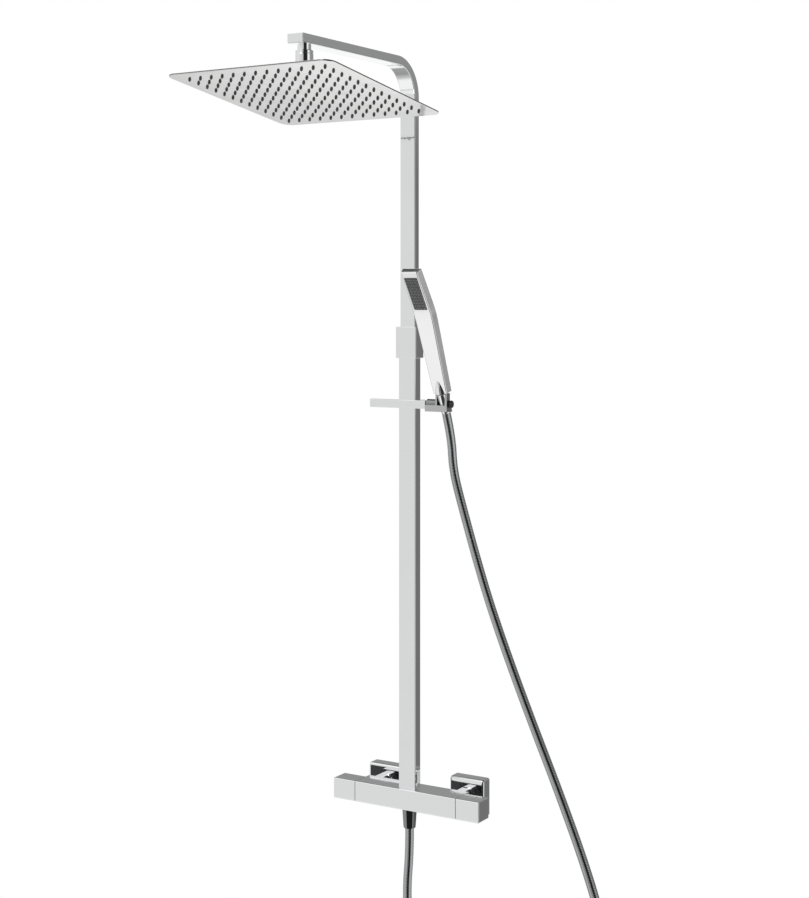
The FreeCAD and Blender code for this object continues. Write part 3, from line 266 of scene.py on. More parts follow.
def make_pulled_length():
    place, _, distance = along_line(upper_line, 0.001)
    piece, _ = wound_tube("hose_pull_skin", place[distance <= PULL_LONG], HOSE_RADIUS - PULL_THINNER)
    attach(piece, "handset")
    return piece


hose_pull = make_pulled_length()

# %% [markdown]
# ## Helpers for clean metal shapes
#
# Most of this column is rectangular metal with small round edges. A real edge is never sharp, and
# on chrome the thin bright line along each edge is what makes the shape readable. So a bar here
# is a rectangle with round corners carried along a line, and its size shrinks in a quarter circle
# at both ends. Beside each arc sits one extra point, so that the smooth shading stays inside the
# arc and the flats stay flat.

# %% Rings and carried profiles
X_WAY, Y_WAY, Z_WAY = np.eye(3)
EDGE = 0.0003  # how far beside an arc the extra point sits
LEAST_CORNER = 0.00008


def rounded_ring(half_a, half_b, radius, steps=4):
    """Rectangles with round corners, anticlockwise, one per entry: shape (rings, points, 2).

    Each corner is its centre plus radius times (cos, sin) over a quarter turn.
    """
    values = [np.atleast_1d(np.asarray(v, float)) for v in (half_a, half_b, radius)]
    half_a, half_b, radius = (v[:, None] for v in np.broadcast_arrays(*values))
    arc = np.linspace(0, math.pi / 2, steps + 1)
    quarter = np.concatenate([[0], arc, [math.pi / 2]])
    slide = np.tile(np.concatenate([[-EDGE], np.zeros(steps + 1), [EDGE]]), 4)
    turn = (np.arange(4)[:, None] * math.pi / 2 + quarter).ravel()
    sign_a = np.repeat([1, -1, -1, 1], len(quarter))
    sign_b = np.repeat([1, 1, -1, -1], len(quarter))
    a = sign_a * (half_a - radius) + radius * np.cos(turn) - slide * np.sin(turn)
    b = sign_b * (half_b - radius) + radius * np.sin(turn) + slide * np.cos(turn)
    return np.stack([a, b], -1)


def carried(rings, places, side, up):
    """Puts flat rings into space: place + a * side + b * up. side x up points along the way."""
    side, up = np.atleast_2d(side)[:, None], np.atleast_2d(up)[:, None]
    return np.asarray(places)[:, None] + rings[..., :1] * side + rings[..., 1:] * up


def end_rounds(length, start_round, end_round, steps=4):
    """Distances along a bar, and how far its outline is drawn in: quarter circles at both ends."""
    turn = np.linspace(0, math.pi / 2, steps + 1)
    fall, draw = 1 - np.cos(turn), 1 - np.sin(turn)
    first = np.stack([start_round * fall, start_round * draw], -1)
    last = np.stack([length - end_round * fall, end_round * draw], -1)[::-1]
    inner = [[0, start_round + EDGE]], first, [[start_round + EDGE, 0]]
    outer = [[length - end_round - EDGE, 0]], last, [[length, end_round + EDGE]]
    rows = np.concatenate([*inner, *outer])
    return rows[:, 0], rows[:, 1]


def bar_piece(name, start, way, side, half_a, half_b, length, corner, ends=(0.0008, 0.0008)):
    """A straight bar with round corners and round ends. half_a lies along side."""
    start, way, side = (np.asarray(v, float) for v in (start, way, side))
    along, inset = end_rounds(length, *ends)
    rings = rounded_ring(half_a - inset, half_b - inset, np.maximum(corner - inset, LEAST_CORNER))
    grid = carried(rings, start + along[:, None] * way, side, np.cross(way, side))
    return tube_piece(name, grid)


# %% Sleeves and turned pieces
SLEEVE_ROUND = 0.0006


def ring_piece(name, grid):
    """A closed skin whose rows close on themselves as well: a frame, a sleeve or a washer."""
    rows, columns = grid.shape[:2]
    faces = np.array(grid_faces(rows + 1, columns)) % (rows * columns)
    return add_piece(name, grid, faces.tolist())


def sleeve_piece(name, centre, low, high, outer, wall, corner):
    """An upright rectangular sleeve. Its rows run up the outside, over the top and down inside."""
    turn = np.linspace(0, math.pi / 2, 4)
    rise = SLEEVE_ROUND * np.sin(turn)
    draw = SLEEVE_ROUND * (1 - np.cos(turn))
    first, last = low + SLEEVE_ROUND, high - SLEEVE_ROUND
    up_z = np.concatenate([first - rise[::-1], [first + EDGE, last - EDGE], last + rise])
    up_in = np.concatenate([draw[::-1], [0, 0], draw])
    heights = np.concatenate([up_z, [high, high - EDGE, low + EDGE, low]])
    inset = np.concatenate([up_in, [wall - EDGE, wall, wall, wall - EDGE]])
    rings = rounded_ring(outer[0] - inset, outer[1] - inset, np.maximum(corner - inset, 0.0002))
    places = np.stack([centre[0] + 0 * heights, centre[1] + 0 * heights, heights], -1)
    return ring_piece(name, carried(rings, places, X_WAY, Y_WAY))


def beside_corners(profile):
    """Adds a point on both sides of every corner, so that smooth shading stays close to it."""
    step = np.diff(profile, axis=0)
    length = np.maximum(np.linalg.norm(step, axis=1), 1e-9)
    near = step * np.minimum(0.3, EDGE / length)[:, None]
    trios = np.stack([profile[:-1], profile[:-1] + near, profile[1:] - near], 1)
    return np.concatenate([trios.reshape(-1, 2), profile[-1:]])


def turned_piece(name, start, way, profile, side=None, size=None, columns=64):
    """A lathe-turned shape: rings of radius r at distance s along the way, for (s, r) in profile.

    size(s, turn) may scale the rings by angle, which cuts flats or grips into them.
    """
    way = np.asarray(way, float) / np.linalg.norm(way)
    side = np.cross((0.31, 0.95, 0.05), way) if side is None else np.asarray(side, float)
    side = side - way * (side @ way)
    side /= np.linalg.norm(side)
    s, r = beside_corners(np.asarray(profile, float)).T
    turn = np.linspace(0, 2 * math.pi, columns, endpoint=False)
    radius = r[:, None] * (1 if size is None else size(s[:, None], turn[None]))
    radius = np.broadcast_to(radius, (len(s), columns))
    out = np.cos(turn)[:, None] * side + np.sin(turn)[:, None] * np.cross(way, side)
    grid = np.asarray(start) + s[:, None, None] * way + radius[..., None] * out[None]
    return tube_piece(name, grid)


def box(node):
    """The low and high corners of a CAD node's box, as arrays."""
    return (np.array(v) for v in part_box(node))


def finished(piece, body, *nodes, slot="polished_chrome"):
    """Makes a piece ride on its body, names its finish, and says which CAD nodes it stands for."""
    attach(piece, body)
    if nodes:
        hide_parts(*nodes)
    NEW_PIECES.append((piece, slot))
    return piece


NEW_PIECES = []


# %% [markdown]
# ## The bar valve
#
# The valve is a square brass bar. Its middle is fixed and reaches further back than the two
# knobs, which are square blocks of their own with a hairline gap between. Each is one bar with
# 1.2 mm round edges, as such castings have after polishing.

# %% Valve body and knobs
BAR_ROUND, INLET_X, NIPPLE_LONG = 0.0012, 0.075, 0.0075
KNOB_GAP_ROUND = 0.0004


def box_bar(name, node, way_axis, corner=BAR_ROUND, ends=(BAR_ROUND, BAR_ROUND), low=None, high=None):
    """A bar that fills a CAD node's box, or a part of it, along one axis (0, 1 or 2)."""
    node_low, node_high = box(node)
    low = node_low if low is None else np.array(low)
    high = node_high if high is None else np.array(high)
    a, b = (way_axis + 1) % 3, (way_axis + 2) % 3
    start = (low + high) / 2
    start[way_axis] = low[way_axis]
    half = (high - low) / 2
    return bar_piece(name, start, np.eye(3)[way_axis], np.eye(3)[a], half[a], half[b],
                     2 * half[way_axis], corner, ends)


def make_valve():
    body_low, body_high = box("valve_body")
    body_high[1] -= NIPPLE_LONG
    body = box_bar("valve_bar", "valve_body", 0, ends=(0.0003, 0.0003), low=body_low, high=body_high)
    finished(body, "valve", "valve_body")
    profile = [(0, 0.0132), (NIPPLE_LONG - 0.0008, 0.0132), (NIPPLE_LONG, 0.0124), (NIPPLE_LONG, 0.009)]
    for side, x in (("hot", -INLET_X), ("cold", INLET_X)):
        piece = turned_piece(f"{side}_nipple", (x, body_high[1], 0), Y_WAY, profile)
        finished(piece, "valve")
    for name, body_name, ends in (
            ("flow_knob", "flow_control", (BAR_ROUND, KNOB_GAP_ROUND)),
            ("temperature_knob", "temperature_control", (KNOB_GAP_ROUND, BAR_ROUND))):
        knob = box_bar(name + "_block", name, 0, ends=ends)
        finished(knob, body_name, name)
    print("valve bar:", round(float(body_high[0] - body_low[0]), 3), "m between the knobs")


make_valve()

# %% [markdown]
# ## Wall fittings
#
# Each inlet has a hollow square cover on the wall, thin polished sheet with softly rolled edges,
# and a hexagon nut in front of it. The nut's outline is a hexagon cut down by a turned chamfer:
# the radius at an angle is the smaller of the hexagon's and the chamfer's.

# %% Covers and union nuts
COVER_ROUND, NUT_FLATS = 0.0032, 0.030


def hexagon(flats, turn, corner=0.94):
    """Distance from the middle to a hexagon's side at an angle; its corners are slightly broken."""
    wedge = (turn + math.pi / 6) % (math.pi / 3) - math.pi / 6
    return np.minimum(flats / 2 / np.cos(wedge), flats / math.sqrt(3) * corner)


def make_wall_fittings():
    for side in ("hot", "cold"):
        low, high = box(f"{side}_escutcheon")
        centre, half = (low + high) / 2, (high - low) / 2
        cover = bar_piece(f"{side}_cover", (centre[0], high[1], centre[2]), -Y_WAY, X_WAY, half[0],
                          half[2], 2 * half[1], COVER_ROUND, ends=(0.0004, COVER_ROUND))
        finished(cover, "valve", f"{side}_escutcheon")
        low, high = box(f"{side}_union_nut")
        long = high[1] - low[1]
        chamfer = np.array([0, 0.0008, 0.0025, long - 0.0016, long - 0.0008, long])
        limit = np.array([0.0150, 0.0160, 0.0173, 0.0173, 0.0166, 0.0158])

        def size(s, turn, chamfer=chamfer, limit=limit):
            return np.minimum(hexagon(NUT_FLATS, turn), np.interp(s, chamfer, limit))

        rows = np.array([0, 0.0004, 0.0012, 0.0025, 0.0026, long - 0.0026, long - 0.0025,
                         long - 0.0008, long])
        profile = np.stack([rows, np.ones_like(rows)], -1)
        nut = turned_piece(f"{side}_nut", (centre[0], low[1], centre[2]), Y_WAY, profile, Z_WAY, size, 96)
        finished(nut, "valve", f"{side}_union_nut")


make_wall_fittings()

# %% [markdown]
# ## The riser and its collar
#
# The riser is a rectangular tube with 1 mm corners. The lower one is fixed, and the collar at its
# top lets the slimmer tube above slide in and out. Both are sleeves with a real opening, so the
# joint still looks right when the arm is raised.

# %% Lower tube and collar
TUBE_WALL, TUBE_CORNER, COLLAR_GAP = 0.0012, 0.0012, 0.0003
ARM_HALF_WIDE, ARM_HALF_DEEP = 0.0130, 0.0065


def make_riser():
    for name, node in (("riser_tube", "lower_tube"), ("riser_clamp", "riser_collar")):
        low, high = box(node)
        half = (high - low) / 2
        wall = TUBE_WALL if name == "riser_tube" else half[0] - (ARM_HALF_WIDE + COLLAR_GAP)
        piece = sleeve_piece(name, (low + high) / 2, low[2], high[2], half, wall, TUBE_CORNER)
        finished(piece, "valve", node)


make_riser()

# %% [markdown]
# The bracket behind the collar is screwed to the wall. A wood screw is a core that tapers to its
# point, with a thread outside it, so its profile rises and falls once per turn of the thread.

# %% Wall screws
THREAD_PITCH, THREAD_DEEP, POINT_LONG = 0.0014, 0.0005, 0.014


def make_wall_screws():
    low, high = box("bracket_screws")
    head_r, shank_r, head_long = 0.0037, 0.0020, 0.0024
    s = np.arange(0.0065, high[1] - low[1] - 0.0004, THREAD_PITCH / 4)
    crest = np.array([0.0, 0.5, 1.0, 0.5])[np.arange(len(s)) % 4]
    taper = np.clip((high[1] - low[1] - s) / POINT_LONG, 0.08, 1)
    thread = np.stack([s, (shank_r - THREAD_DEEP * crest) * taper], -1)
    profile = [(0.0012, 0.0011), (0.0, 0.0018), (0.0, head_r - 0.0002), (0.0003, head_r),
               (head_long, 0.0019), (0.0062, 0.0019), *thread.tolist(), (high[1] - low[1], 0.0001)]
    for k, z in enumerate((low[2] + head_r, high[2] - head_r)):
        screw = turned_piece(f"wall_screw_{k + 1}", (0, low[1], z), Y_WAY, profile, X_WAY, columns=24)
        finished(screw, "valve", *(["bracket_screws"] if k == 0 else []), slot="screw_steel")
    print("wall screws:", round(float(high[1] - low[1]), 3), "m long")


make_wall_screws()

# %% [markdown]
# ## The overhead arm
#
# The sliding tube, the bend and the arm are one rectangular tube, bent on a mandrel: the section
# keeps its shape all the way round. The profile is carried up, round a quarter circle and out
# over the shower, with forty steps in the bend so that its reflections run without a break.

# %% Arm
ARM_BEND, BEND_STEPS = 0.052, 40


def make_arm():
    low, high = box("overhead_arm")
    cap_low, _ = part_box("arm_end_cap")
    axis_y = high[1] - ARM_HALF_DEEP
    middle_z = high[2] - ARM_HALF_DEEP
    bend_z, bend_y = middle_z - ARM_BEND, axis_y - ARM_BEND
    turn = np.linspace(0, math.pi / 2, BEND_STEPS + 1)
    bend = np.stack([0 * turn, bend_y + ARM_BEND * np.cos(turn), bend_z + ARM_BEND * np.sin(turn)], -1)
    foot = np.array([[0, axis_y, low[2] + d] for d in (0, 0.0004, 0.0008)] + [[0, axis_y, bend_z - EDGE]])
    tip = np.array([[0, bend_y - EDGE, middle_z]] +
                   [[0, low[1] + d, middle_z] for d in (0.0008, 0.0004, 0)])
    places = np.concatenate([foot, bend, tip])
    inward = np.concatenate([np.tile([0, 1.0, 0], (4, 1)),
                             np.stack([0 * turn, np.cos(turn), np.sin(turn)], -1),
                             np.tile([0, 0, 1.0], (4, 1))])
    inset = np.zeros(len(places))
    inset[[0, -1]] = 0.0003
    rings = rounded_ring(ARM_HALF_WIDE - inset, ARM_HALF_DEEP - inset, 0.0011 - inset)
    arm = tube_piece("arm_tube", carried(rings, places, X_WAY, inward))
    finished(arm, "column_top", "overhead_arm")
    cap = bar_piece("arm_cap", (0, low[1] - 0.00012, middle_z), -Y_WAY, X_WAY, ARM_HALF_WIDE - 0.0001,
                    ARM_HALF_DEEP - 0.0001, low[1] - 0.00012 - cap_low[1], 0.0011, ends=(0.0002, 0.0005))
    finished(cap, "column_top", "arm_end_cap")
    print("arm:", len(places), "rings, bend radius", ARM_BEND)


make_arm()

# %% [markdown]
# ## The ball joint
#
# The head hangs from a smooth threaded bush, a turned connector nut with two thin grooves, and a
# ball in a socket. The socket's nut has a coin edge, shallow grips that fingers can turn: its
# radius rises and falls thirty-six times round.

# %% Connector and socket
TILT_JOINT = next(j for j in frame["record"]["behaviour"]["joints"] if j["name"] == "head_tilt_front")
BALL = np.array(TILT_JOINT["pos_m"])
HEAD_TILT, HEAD_TURN = math.radians(9.1), math.radians(-1.7)
GRIPS, SOCKET_NUT_DROP = 36, 0.0095


def head_frame():
    """Directions of the hanging head: its own right, back and up, after the tilt and the turn."""
    right = np.array([math.cos(HEAD_TURN), math.sin(HEAD_TURN), 0])
    level = np.array([-math.sin(HEAD_TURN), math.cos(HEAD_TURN), 0])
    back = level * math.cos(HEAD_TILT) - Z_WAY * math.sin(HEAD_TILT)
    return right, back, np.cross(right, back)


HEAD_RIGHT, HEAD_BACK_WAY, HEAD_UP = head_frame()


def make_ball_joint():
    low, high = box("connector_nut")
    long, r = high[2] - low[2], (high[0] - low[0]) / 2
    e = 0.0009
    groove = [(g + d, r - cut) for g in (0.0045, long - 0.0045)
              for d, cut in ((-0.0006, 0), (-0.0003, 0.0005), (0.0003, 0.0005), (0.0006, 0))]
    profile = [(0, 0.006), (0, r - e - EDGE), (0, r - e), (e * 0.3, r - e * 0.3), (e, r), (e + EDGE, r),
               *groove, (long - e - EDGE, r), (long - e, r), (long - e * 0.3, r - e * 0.3), (long, r - e),
               (long, r - e - EDGE), (long, 0.006)]
    nut = turned_piece("connector_sleeve", (BALL[0], BALL[1], low[2]), Z_WAY, profile, X_WAY)
    finished(nut, "column_top", "connector_nut")

    def grips(s, turn):
        depth = 0.022 * np.clip((0.0062 - np.abs(s - 0.0075)) / 0.0010, 0, 1)
        return 1 - depth * (0.5 + 0.5 * np.cos(GRIPS * turn))

    r = 0.019
    profile = [(-0.0005, 0.0172), (-0.0005, r - 0.0008), (0.0003, r), (0.0012, r), (0.0018, r), (0.0074, r),
               (0.0130, r), (0.0138, r), (0.0155, r - 0.0001), (0.0180, r - 0.0025), (0.0180, 0.0092)]
    nut = turned_piece("socket_ring", BALL - HEAD_UP * SOCKET_NUT_DROP, HEAD_UP, profile, HEAD_RIGHT,
                       grips, 4 * GRIPS)
    finished(nut, "rain_head", "socket_nut")


make_ball_joint()

# %% [markdown]
# ## The rain head
#
# The head is two thin polished sheets, 2.2 mm over both, with a rubber mat between them whose 169
# soft nozzles stand out underneath. The plate is a short stack of rounded squares, and its cut
# edge is a band of its own, a little rougher than the faces, and its darker tone is a painted dark
# reflection along the rim. A nozzle repeats 169 times, so it has only a few faces: one small
# profile is placed at every hole by adding arrays.

# %% Head plate and nozzles
HEAD_HALF, HEAD_CORNER, HEAD_THICK = 0.139, 0.016, 0.0022
HEAD_BELOW, HEAD_BACK = 0.022, 0.0066
HEAD_LOW = -HEAD_BELOW - HEAD_THICK / 2
NOZZLE_ROWS, NOZZLE_PITCH = 13, 0.01905
NOZZLE_PROFILE = [(0.0005, 0.0016), (-0.00001, 0.0024), (-0.00020, 0.0023), (-0.0003, 0.0020),
                  (-0.0016, 0.0018), (-0.0030, 0.0014), (-0.0032, 0.0009), (-0.0026, 0.0006)]


def head_point(x, y, z):
    """A point of the hanging head: x right, y back from the socket and z up from the ball."""
    x, y, z = (np.asarray(v, float)[..., None] for v in (x, y, z))
    return BALL + x * HEAD_RIGHT + y * HEAD_BACK_WAY + z * HEAD_UP


def head_rings(inset, heights):
    """Rounded squares round the plate, drawn in by inset, at heights above its underside."""
    rings = rounded_ring(HEAD_HALF - inset, HEAD_HALF - inset, HEAD_CORNER - inset, 12)
    heights = (HEAD_LOW + heights)[:, None] + 0 * rings[..., 0]
    return head_point(rings[..., 0], rings[..., 1] + HEAD_BACK, heights)


def make_head_plate():
    along, inset = end_rounds(HEAD_THICK, 0.0005, 0.0005, 3)
    plate = tube_piece("head_plate", head_rings(inset, along))
    finished(plate, "rain_head", "head_tray", "head_cover", slot="head_steel")
    outside = np.array([0.00045, 0.0005, 0.0017, 0.00175])
    inset = np.array([0.0001, -0.00012, -0.00012, 0.0001] + [0.0004] * 4)
    band = ring_piece("head_edge_band", head_rings(inset, np.concatenate([outside, outside[::-1]])))
    return finished(band, "rain_head", slot="head_steel")


def make_nozzles():
    spots = (np.arange(NOZZLE_ROWS) - (NOZZLE_ROWS - 1) / 2) * NOZZLE_PITCH
    x, y, z, faces = studs(spots, spots, NOZZLE_PROFILE, 10)
    grid = head_point(x, y + HEAD_BACK, HEAD_LOW + z)
    piece = add_piece("nozzle_field", grid, faces)
    finished(piece, "rain_head", "nozzle_mat", slot="nozzle_silicone")
    print("nozzles:", len(x))


head_band = make_head_plate()
make_nozzles()

# %% [markdown]
# ## The slider
#
# A flat bar across the front of the riser carries the holder. A clip behind it grips the tube.

# %% Slider bar
SLIDER_ROUND, BAR_DEEP, LUG_STARTS, LUG_X = 0.0008, 0.0097, 0.009, 0.0205


def make_slider():
    low, high = box("slider_bar")
    bar = box_bar("slider_front", "slider_bar", 0, SLIDER_ROUND, (SLIDER_ROUND, SLIDER_ROUND), low,
                  (high[0], low[1] + BAR_DEEP, high[2]))
    finished(bar, "slider", "slider_bar")
    lug = box_bar("slider_lug", "slider_bar", 1, SLIDER_ROUND, (0.0002, SLIDER_ROUND),
                  (LUG_X, low[1] + LUG_STARTS, low[2]), high)
    finished(lug, "slider")


make_slider()

# %% [markdown]
# ## The holder
#
# The holder is one plated moulding: a boss on the pivot, a band across the front, and a tapered
# cup with an open mouth. The CAD shape is already right, so a copy of it is welded, its flat
# triangles are joined into whole faces, and a Bevel modifier gives each edge its small rounding.

# %% Softened copies


def softened(name, node, body, slot, width=0.0004):
    """A welded copy of a CAD node with a small bevel on every edge sharper than 30 degrees."""
    mesh = frame["nodes"][node].data.copy()
    work = bmesh.new()
    work.from_mesh(mesh)
    bmesh.ops.remove_doubles(work, verts=work.verts, dist=0.00001)
    bmesh.ops.dissolve_limit(work, angle_limit=math.radians(1), verts=work.verts, edges=work.edges)
    work.to_mesh(mesh)
    work.free()
    piece = bpy.data.objects.new(name, mesh)
    bpy.context.scene.collection.objects.link(piece)
    bevel = piece.modifiers.new("edges", "BEVEL")
    bevel.width, bevel.segments, bevel.limit_method = width, 2, "ANGLE"
    bevel.angle_limit = math.radians(30)
    bevel.use_clamp_overlap = True
    mesh.polygons.foreach_set("use_smooth", np.full(len(mesh.polygons), True))
    mesh.set_sharp_from_angle(angle=math.radians(32))
    return finished(piece, body, node, slot=slot)


softened("holder_cup", "handset_holder", "holder", "plated_plastic", 0.0005)
softened("slider_grip", "slider_clip", "slider", "polished_chrome", 0.0003)

# %% [markdown]
# The clamp knob beside the holder is a small dark moulding with a domed end and grips round it.

# %% Lock knob
LOCK_GRIPS, LOCK_GAP, STUB_R = 16, 0.0003, 0.0022


def make_lock_knob():
    low, high = box("lock_knob")
    holder_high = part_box("handset_holder")[1]
    start = holder_high[0] + LOCK_GAP
    long, r = high[0] - start, (high[2] - low[2]) / 2
    centre = (low + high) / 2

    def grips(s, turn):
        return 1 - 0.05 * (0.5 + 0.5 * np.cos(LOCK_GRIPS * turn)) * np.clip((long - s) / 0.001, 0, 1)

    profile = [(-0.004, STUB_R), (0, STUB_R), (0, r - 0.0004), (0.0003, r), (0.0008, r), (long * 0.6, r),
               (long - 0.0006, r * 0.97), (long - 0.0002, r * 0.9), (long, r * 0.75), (long, r * 0.6),
               (long - 0.0004, r * 0.4)]
    knob = turned_piece("clamp_knob", (start, centre[1], centre[2]), X_WAY, profile, Z_WAY, grips,
                        4 * LOCK_GRIPS)
    finished(knob, "holder_lock", "lock_knob", slot="dark_plastic")


make_lock_knob()

# %% [markdown]
# ## The hand shower
#
# It is a flat bar of plated plastic that leans forward a little more above its bend. Its outline
# is carried along its own axis: the width swells from foot to bend and narrows again to the top,
# and the axis turns smoothly through the bend. A cone, where hose and handle meet, shows as a
# ridge on the face. The spray panel is a dark plate with rows of soft dots.

# %% Hand shower's own axis
PIVOT = np.array([0.0678, -0.0775, 0.6155])
LEAN, BEND = math.radians(23.0), math.radians(10.4)
FOOT, BEND_AT, TOP = 0.020, 0.149, 0.225
FOOT_WIDE, BEND_WIDE, TOP_WIDE, FLAT_THICK = 0.0270, 0.0330, 0.0303, 0.0116
BEND_REACH = 0.0252
PANEL_LOW, PANEL_HIGH, PANEL_HALF_WIDE = 0.1584, 0.2158, 0.01125
DOT_ROWS, DOT_COLUMNS, DOT_PITCH = 21, 8, 0.0027
DOT_PROFILE = [(0.0, 0.00088), (0.0003, 0.00082), (0.0006, 0.00055), (0.0007, 0.0002)]
BACK_WIDER, DRAFT = 0.0010, 0.25  # the back is wider, and the sides lean in towards the face


def handset_axis(s):
    """Place, up and face directions at distances s: the lean grows smoothly through the bend.

    The place is the pivot plus the running sum of the up directions.
    """
    fine = np.linspace(0, TOP, 901)
    share = np.clip((fine - BEND_AT + BEND_REACH) / (2 * BEND_REACH), 0, 1)
    lean = LEAN + BEND * share * share * (3 - 2 * share)
    up = np.stack([0 * lean, -np.sin(lean), np.cos(lean)], -1)
    step = fine[1]
    run = np.concatenate([[np.zeros(3)], np.cumsum((up[1:] + up[:-1]) / 2, axis=0)])
    place = PIVOT + run * step
    s = np.atleast_1d(s)
    at = np.stack([np.interp(s, fine, place[:, k]) for k in range(3)], -1)
    lean_at = np.interp(s, fine, lean)
    up_at = np.stack([0 * lean_at, -np.sin(lean_at), np.cos(lean_at)], -1)
    face = np.stack([0 * lean_at, -np.cos(lean_at), -np.sin(lean_at)], -1)
    return at, up_at, face


# %% Hand shower's shell


def make_handset():
    along, inset = end_rounds(TOP - FOOT, 0.0006, 0.0016)
    s = np.unique(np.concatenate([FOOT + along, np.linspace(FOOT + 0.004, TOP - 0.004, 60)]))
    inset = np.interp(s, FOOT + along, inset)
    wide = np.interp(s, [FOOT, BEND_AT, TOP], [FOOT_WIDE, BEND_WIDE, TOP_WIDE])
    at, _, face = handset_axis(s)
    inset[0] = 0.0006 + EDGE
    rings = rounded_ring(wide / 2 + BACK_WIDER - inset, FLAT_THICK / 2 - inset,
                         np.maximum(0.0010 - inset, 0.0002))
    rings[..., 0] -= np.sign(rings[..., 0]) * DRAFT * (rings[..., 1] + FLAT_THICK / 2)
    shell = tube_piece("handset_body", carried(rings, at, -X_WAY, face))
    finished(shell, "handset", "handset_shell", slot="plated_plastic")
    profile = [(0, 0.0060), (0, 0.0102), (0.0003, 0.0104), (0.012, 0.0080), (0.0225, 0.0056),
               (0.0232, 0.0050)]
    at, up, _ = handset_axis([FOOT])
    cone = turned_piece("handset_cone", at[0], up[0], profile, X_WAY)
    finished(cone, "handset", slot="plated_plastic")
    profile = [(-0.0095, 0.0040), (-0.0095, 0.0055), (-0.009, 0.0059), (-0.0022, 0.0059), (-0.0020, 0.0074),
               (-0.0002, 0.0074), (0.0005, 0.0070), (0.0005, 0.004)]
    spigot = turned_piece("handset_spigot", at[0], up[0], profile, X_WAY)
    finished(spigot, "handset", slot="seal_rubber")
    print("hand shower:", len(s), "rings")


def make_spray_panel():
    at, up, face = (v[0] for v in handset_axis(np.array([(PANEL_LOW + PANEL_HIGH) / 2])))
    plate = bar_piece("spray_plate", at + face * (FLAT_THICK / 2 - 0.0014), face, X_WAY, PANEL_HALF_WIDE,
                      (PANEL_HIGH - PANEL_LOW) / 2, 0.0016, 0.0012, ends=(0.0002, 0.0003))
    finished(plate, "handset", "spray_panel", slot="dark_plastic")
    across, along = ((np.arange(count) - (count - 1) / 2) * DOT_PITCH for count in (DOT_COLUMNS, DOT_ROWS))
    x, y, z, faces = studs(across, along, DOT_PROFILE, 8)
    top = at + face * (FLAT_THICK / 2)
    grid = top - x[..., None] * X_WAY + y[..., None] * up + (0.0001 + z)[..., None] * face
    dots = add_piece("spray_dots", grid, faces)
    finished(dots, "handset", slot="nozzle_silicone")


make_handset()
make_spray_panel()

# %% [markdown]
# ## Hose ends
#
# The hose's upper nut is a smooth cone that drops into the holder's cup. Its lower nut is a
# tapered hexagon under the valve.

# %% Hose nuts
CONE_LOW, CONE_HIGH = -0.0137, 0.0182  # the upper nut's ends, from the holder's pivot up the handset
CONE_R_LOW, CONE_R_HIGH, CONE_BORE = 0.0075, 0.0082, 0.0061


def make_hose_nuts():
    at, up, _ = handset_axis([0.0])
    low, high = CONE_LOW, CONE_HIGH
    slope = (CONE_R_HIGH - CONE_R_LOW) / (high - low)
    s = np.array([low, low, low + 0.0003, low + 0.0008, low + 0.004, low + 0.0043, low + 0.0049,
                  low + 0.0052, high - 0.001, high - 0.0004, high, high])
    r = CONE_R_LOW + slope * (s - low)
    r[[0, -1]] = CONE_BORE
    r[[1, -2]] -= 0.0006
    r[2] -= 0.0002
    r[[5, 6]] -= 0.0005
    nut = turned_piece("handset_hose_nut", at[0], up[0], np.stack([s, r], -1), X_WAY)
    finished(nut, "handset", "handset_nut")
    low, high = box("outlet_nut")
    long = high[2] - low[2]

    def size(s, turn):
        flats = np.interp(s, [0, long], [0.0205, 0.0170])
        cut = np.interp(s, [0, 0.0016, long - 0.0016, long], [0.0108, 0.0118, 0.0098, 0.0088])
        return np.minimum(hexagon(1.0, turn, 0.96) * flats, cut)

    rows = np.array([0, 0, 0.0004, 0.0016, 0.0018, long - 0.0018, long - 0.0016, long - 0.0004, long, long])
    scale = np.ones_like(rows)
    scale[[0, -1]] = 0.8
    nut = turned_piece("outlet_hose_nut", (0, (low[1] + high[1]) / 2, high[2]), -Z_WAY,
                       np.stack([rows, scale], -1), X_WAY, size, 96)
    finished(nut, "valve", "outlet_nut")
    return nut


outlet_nut = make_hose_nuts()

# %% [markdown]
# ## A studio for chrome
#
# Chrome has hardly any colour of its own: it shows what stands round it, so a studio puts big
# white and dark cards there. The same is done here in the world's background, as a map of
# brightness by direction. One ramp goes round the horizon, and the height above or below the
# horizon mixes in the ceiling and the ground.

# %% World and material helpers


def node(tree, kind, inputs=(), **settings):
    """Adds a node, sets its properties, and fills or links its inputs by name or number."""
    made = tree.nodes.new(kind)
    for key, value in settings.items():
        setattr(made, key, value)
    for key, value in dict(inputs).items():
        socket = made.inputs[key]
        if isinstance(value, bpy.types.NodeSocket):
            tree.links.new(value, socket)
        else:
            socket.default_value = value
    return made


def maths(tree, operation, *values):
    return node(tree, "ShaderNodeMath", dict(enumerate(values)), operation=operation).outputs[0]


def mixed(tree, factor, first, second, **settings):
    """Goes from the first colour to the second as factor goes from 0 to 1."""
    inputs = {0: factor, 6: first, 7: second}
    return node(tree, "ShaderNodeMix", inputs, data_type="RGBA", **settings).outputs[2]


def ramp(tree, factor, stops):
    """A grey ramp: stops are (position, brightness) pairs in order."""
    made = node(tree, "ShaderNodeValToRGB", {"Fac": factor})
    made.color_ramp.interpolation = "EASE"
    elements = made.color_ramp.elements
    while len(elements) < len(stops):
        elements.new(0.5)
    for element, (position, value) in zip(elements, stops):
        element.position = position
        element.color = (value, value, value, 1)
    return made.outputs["Color"]


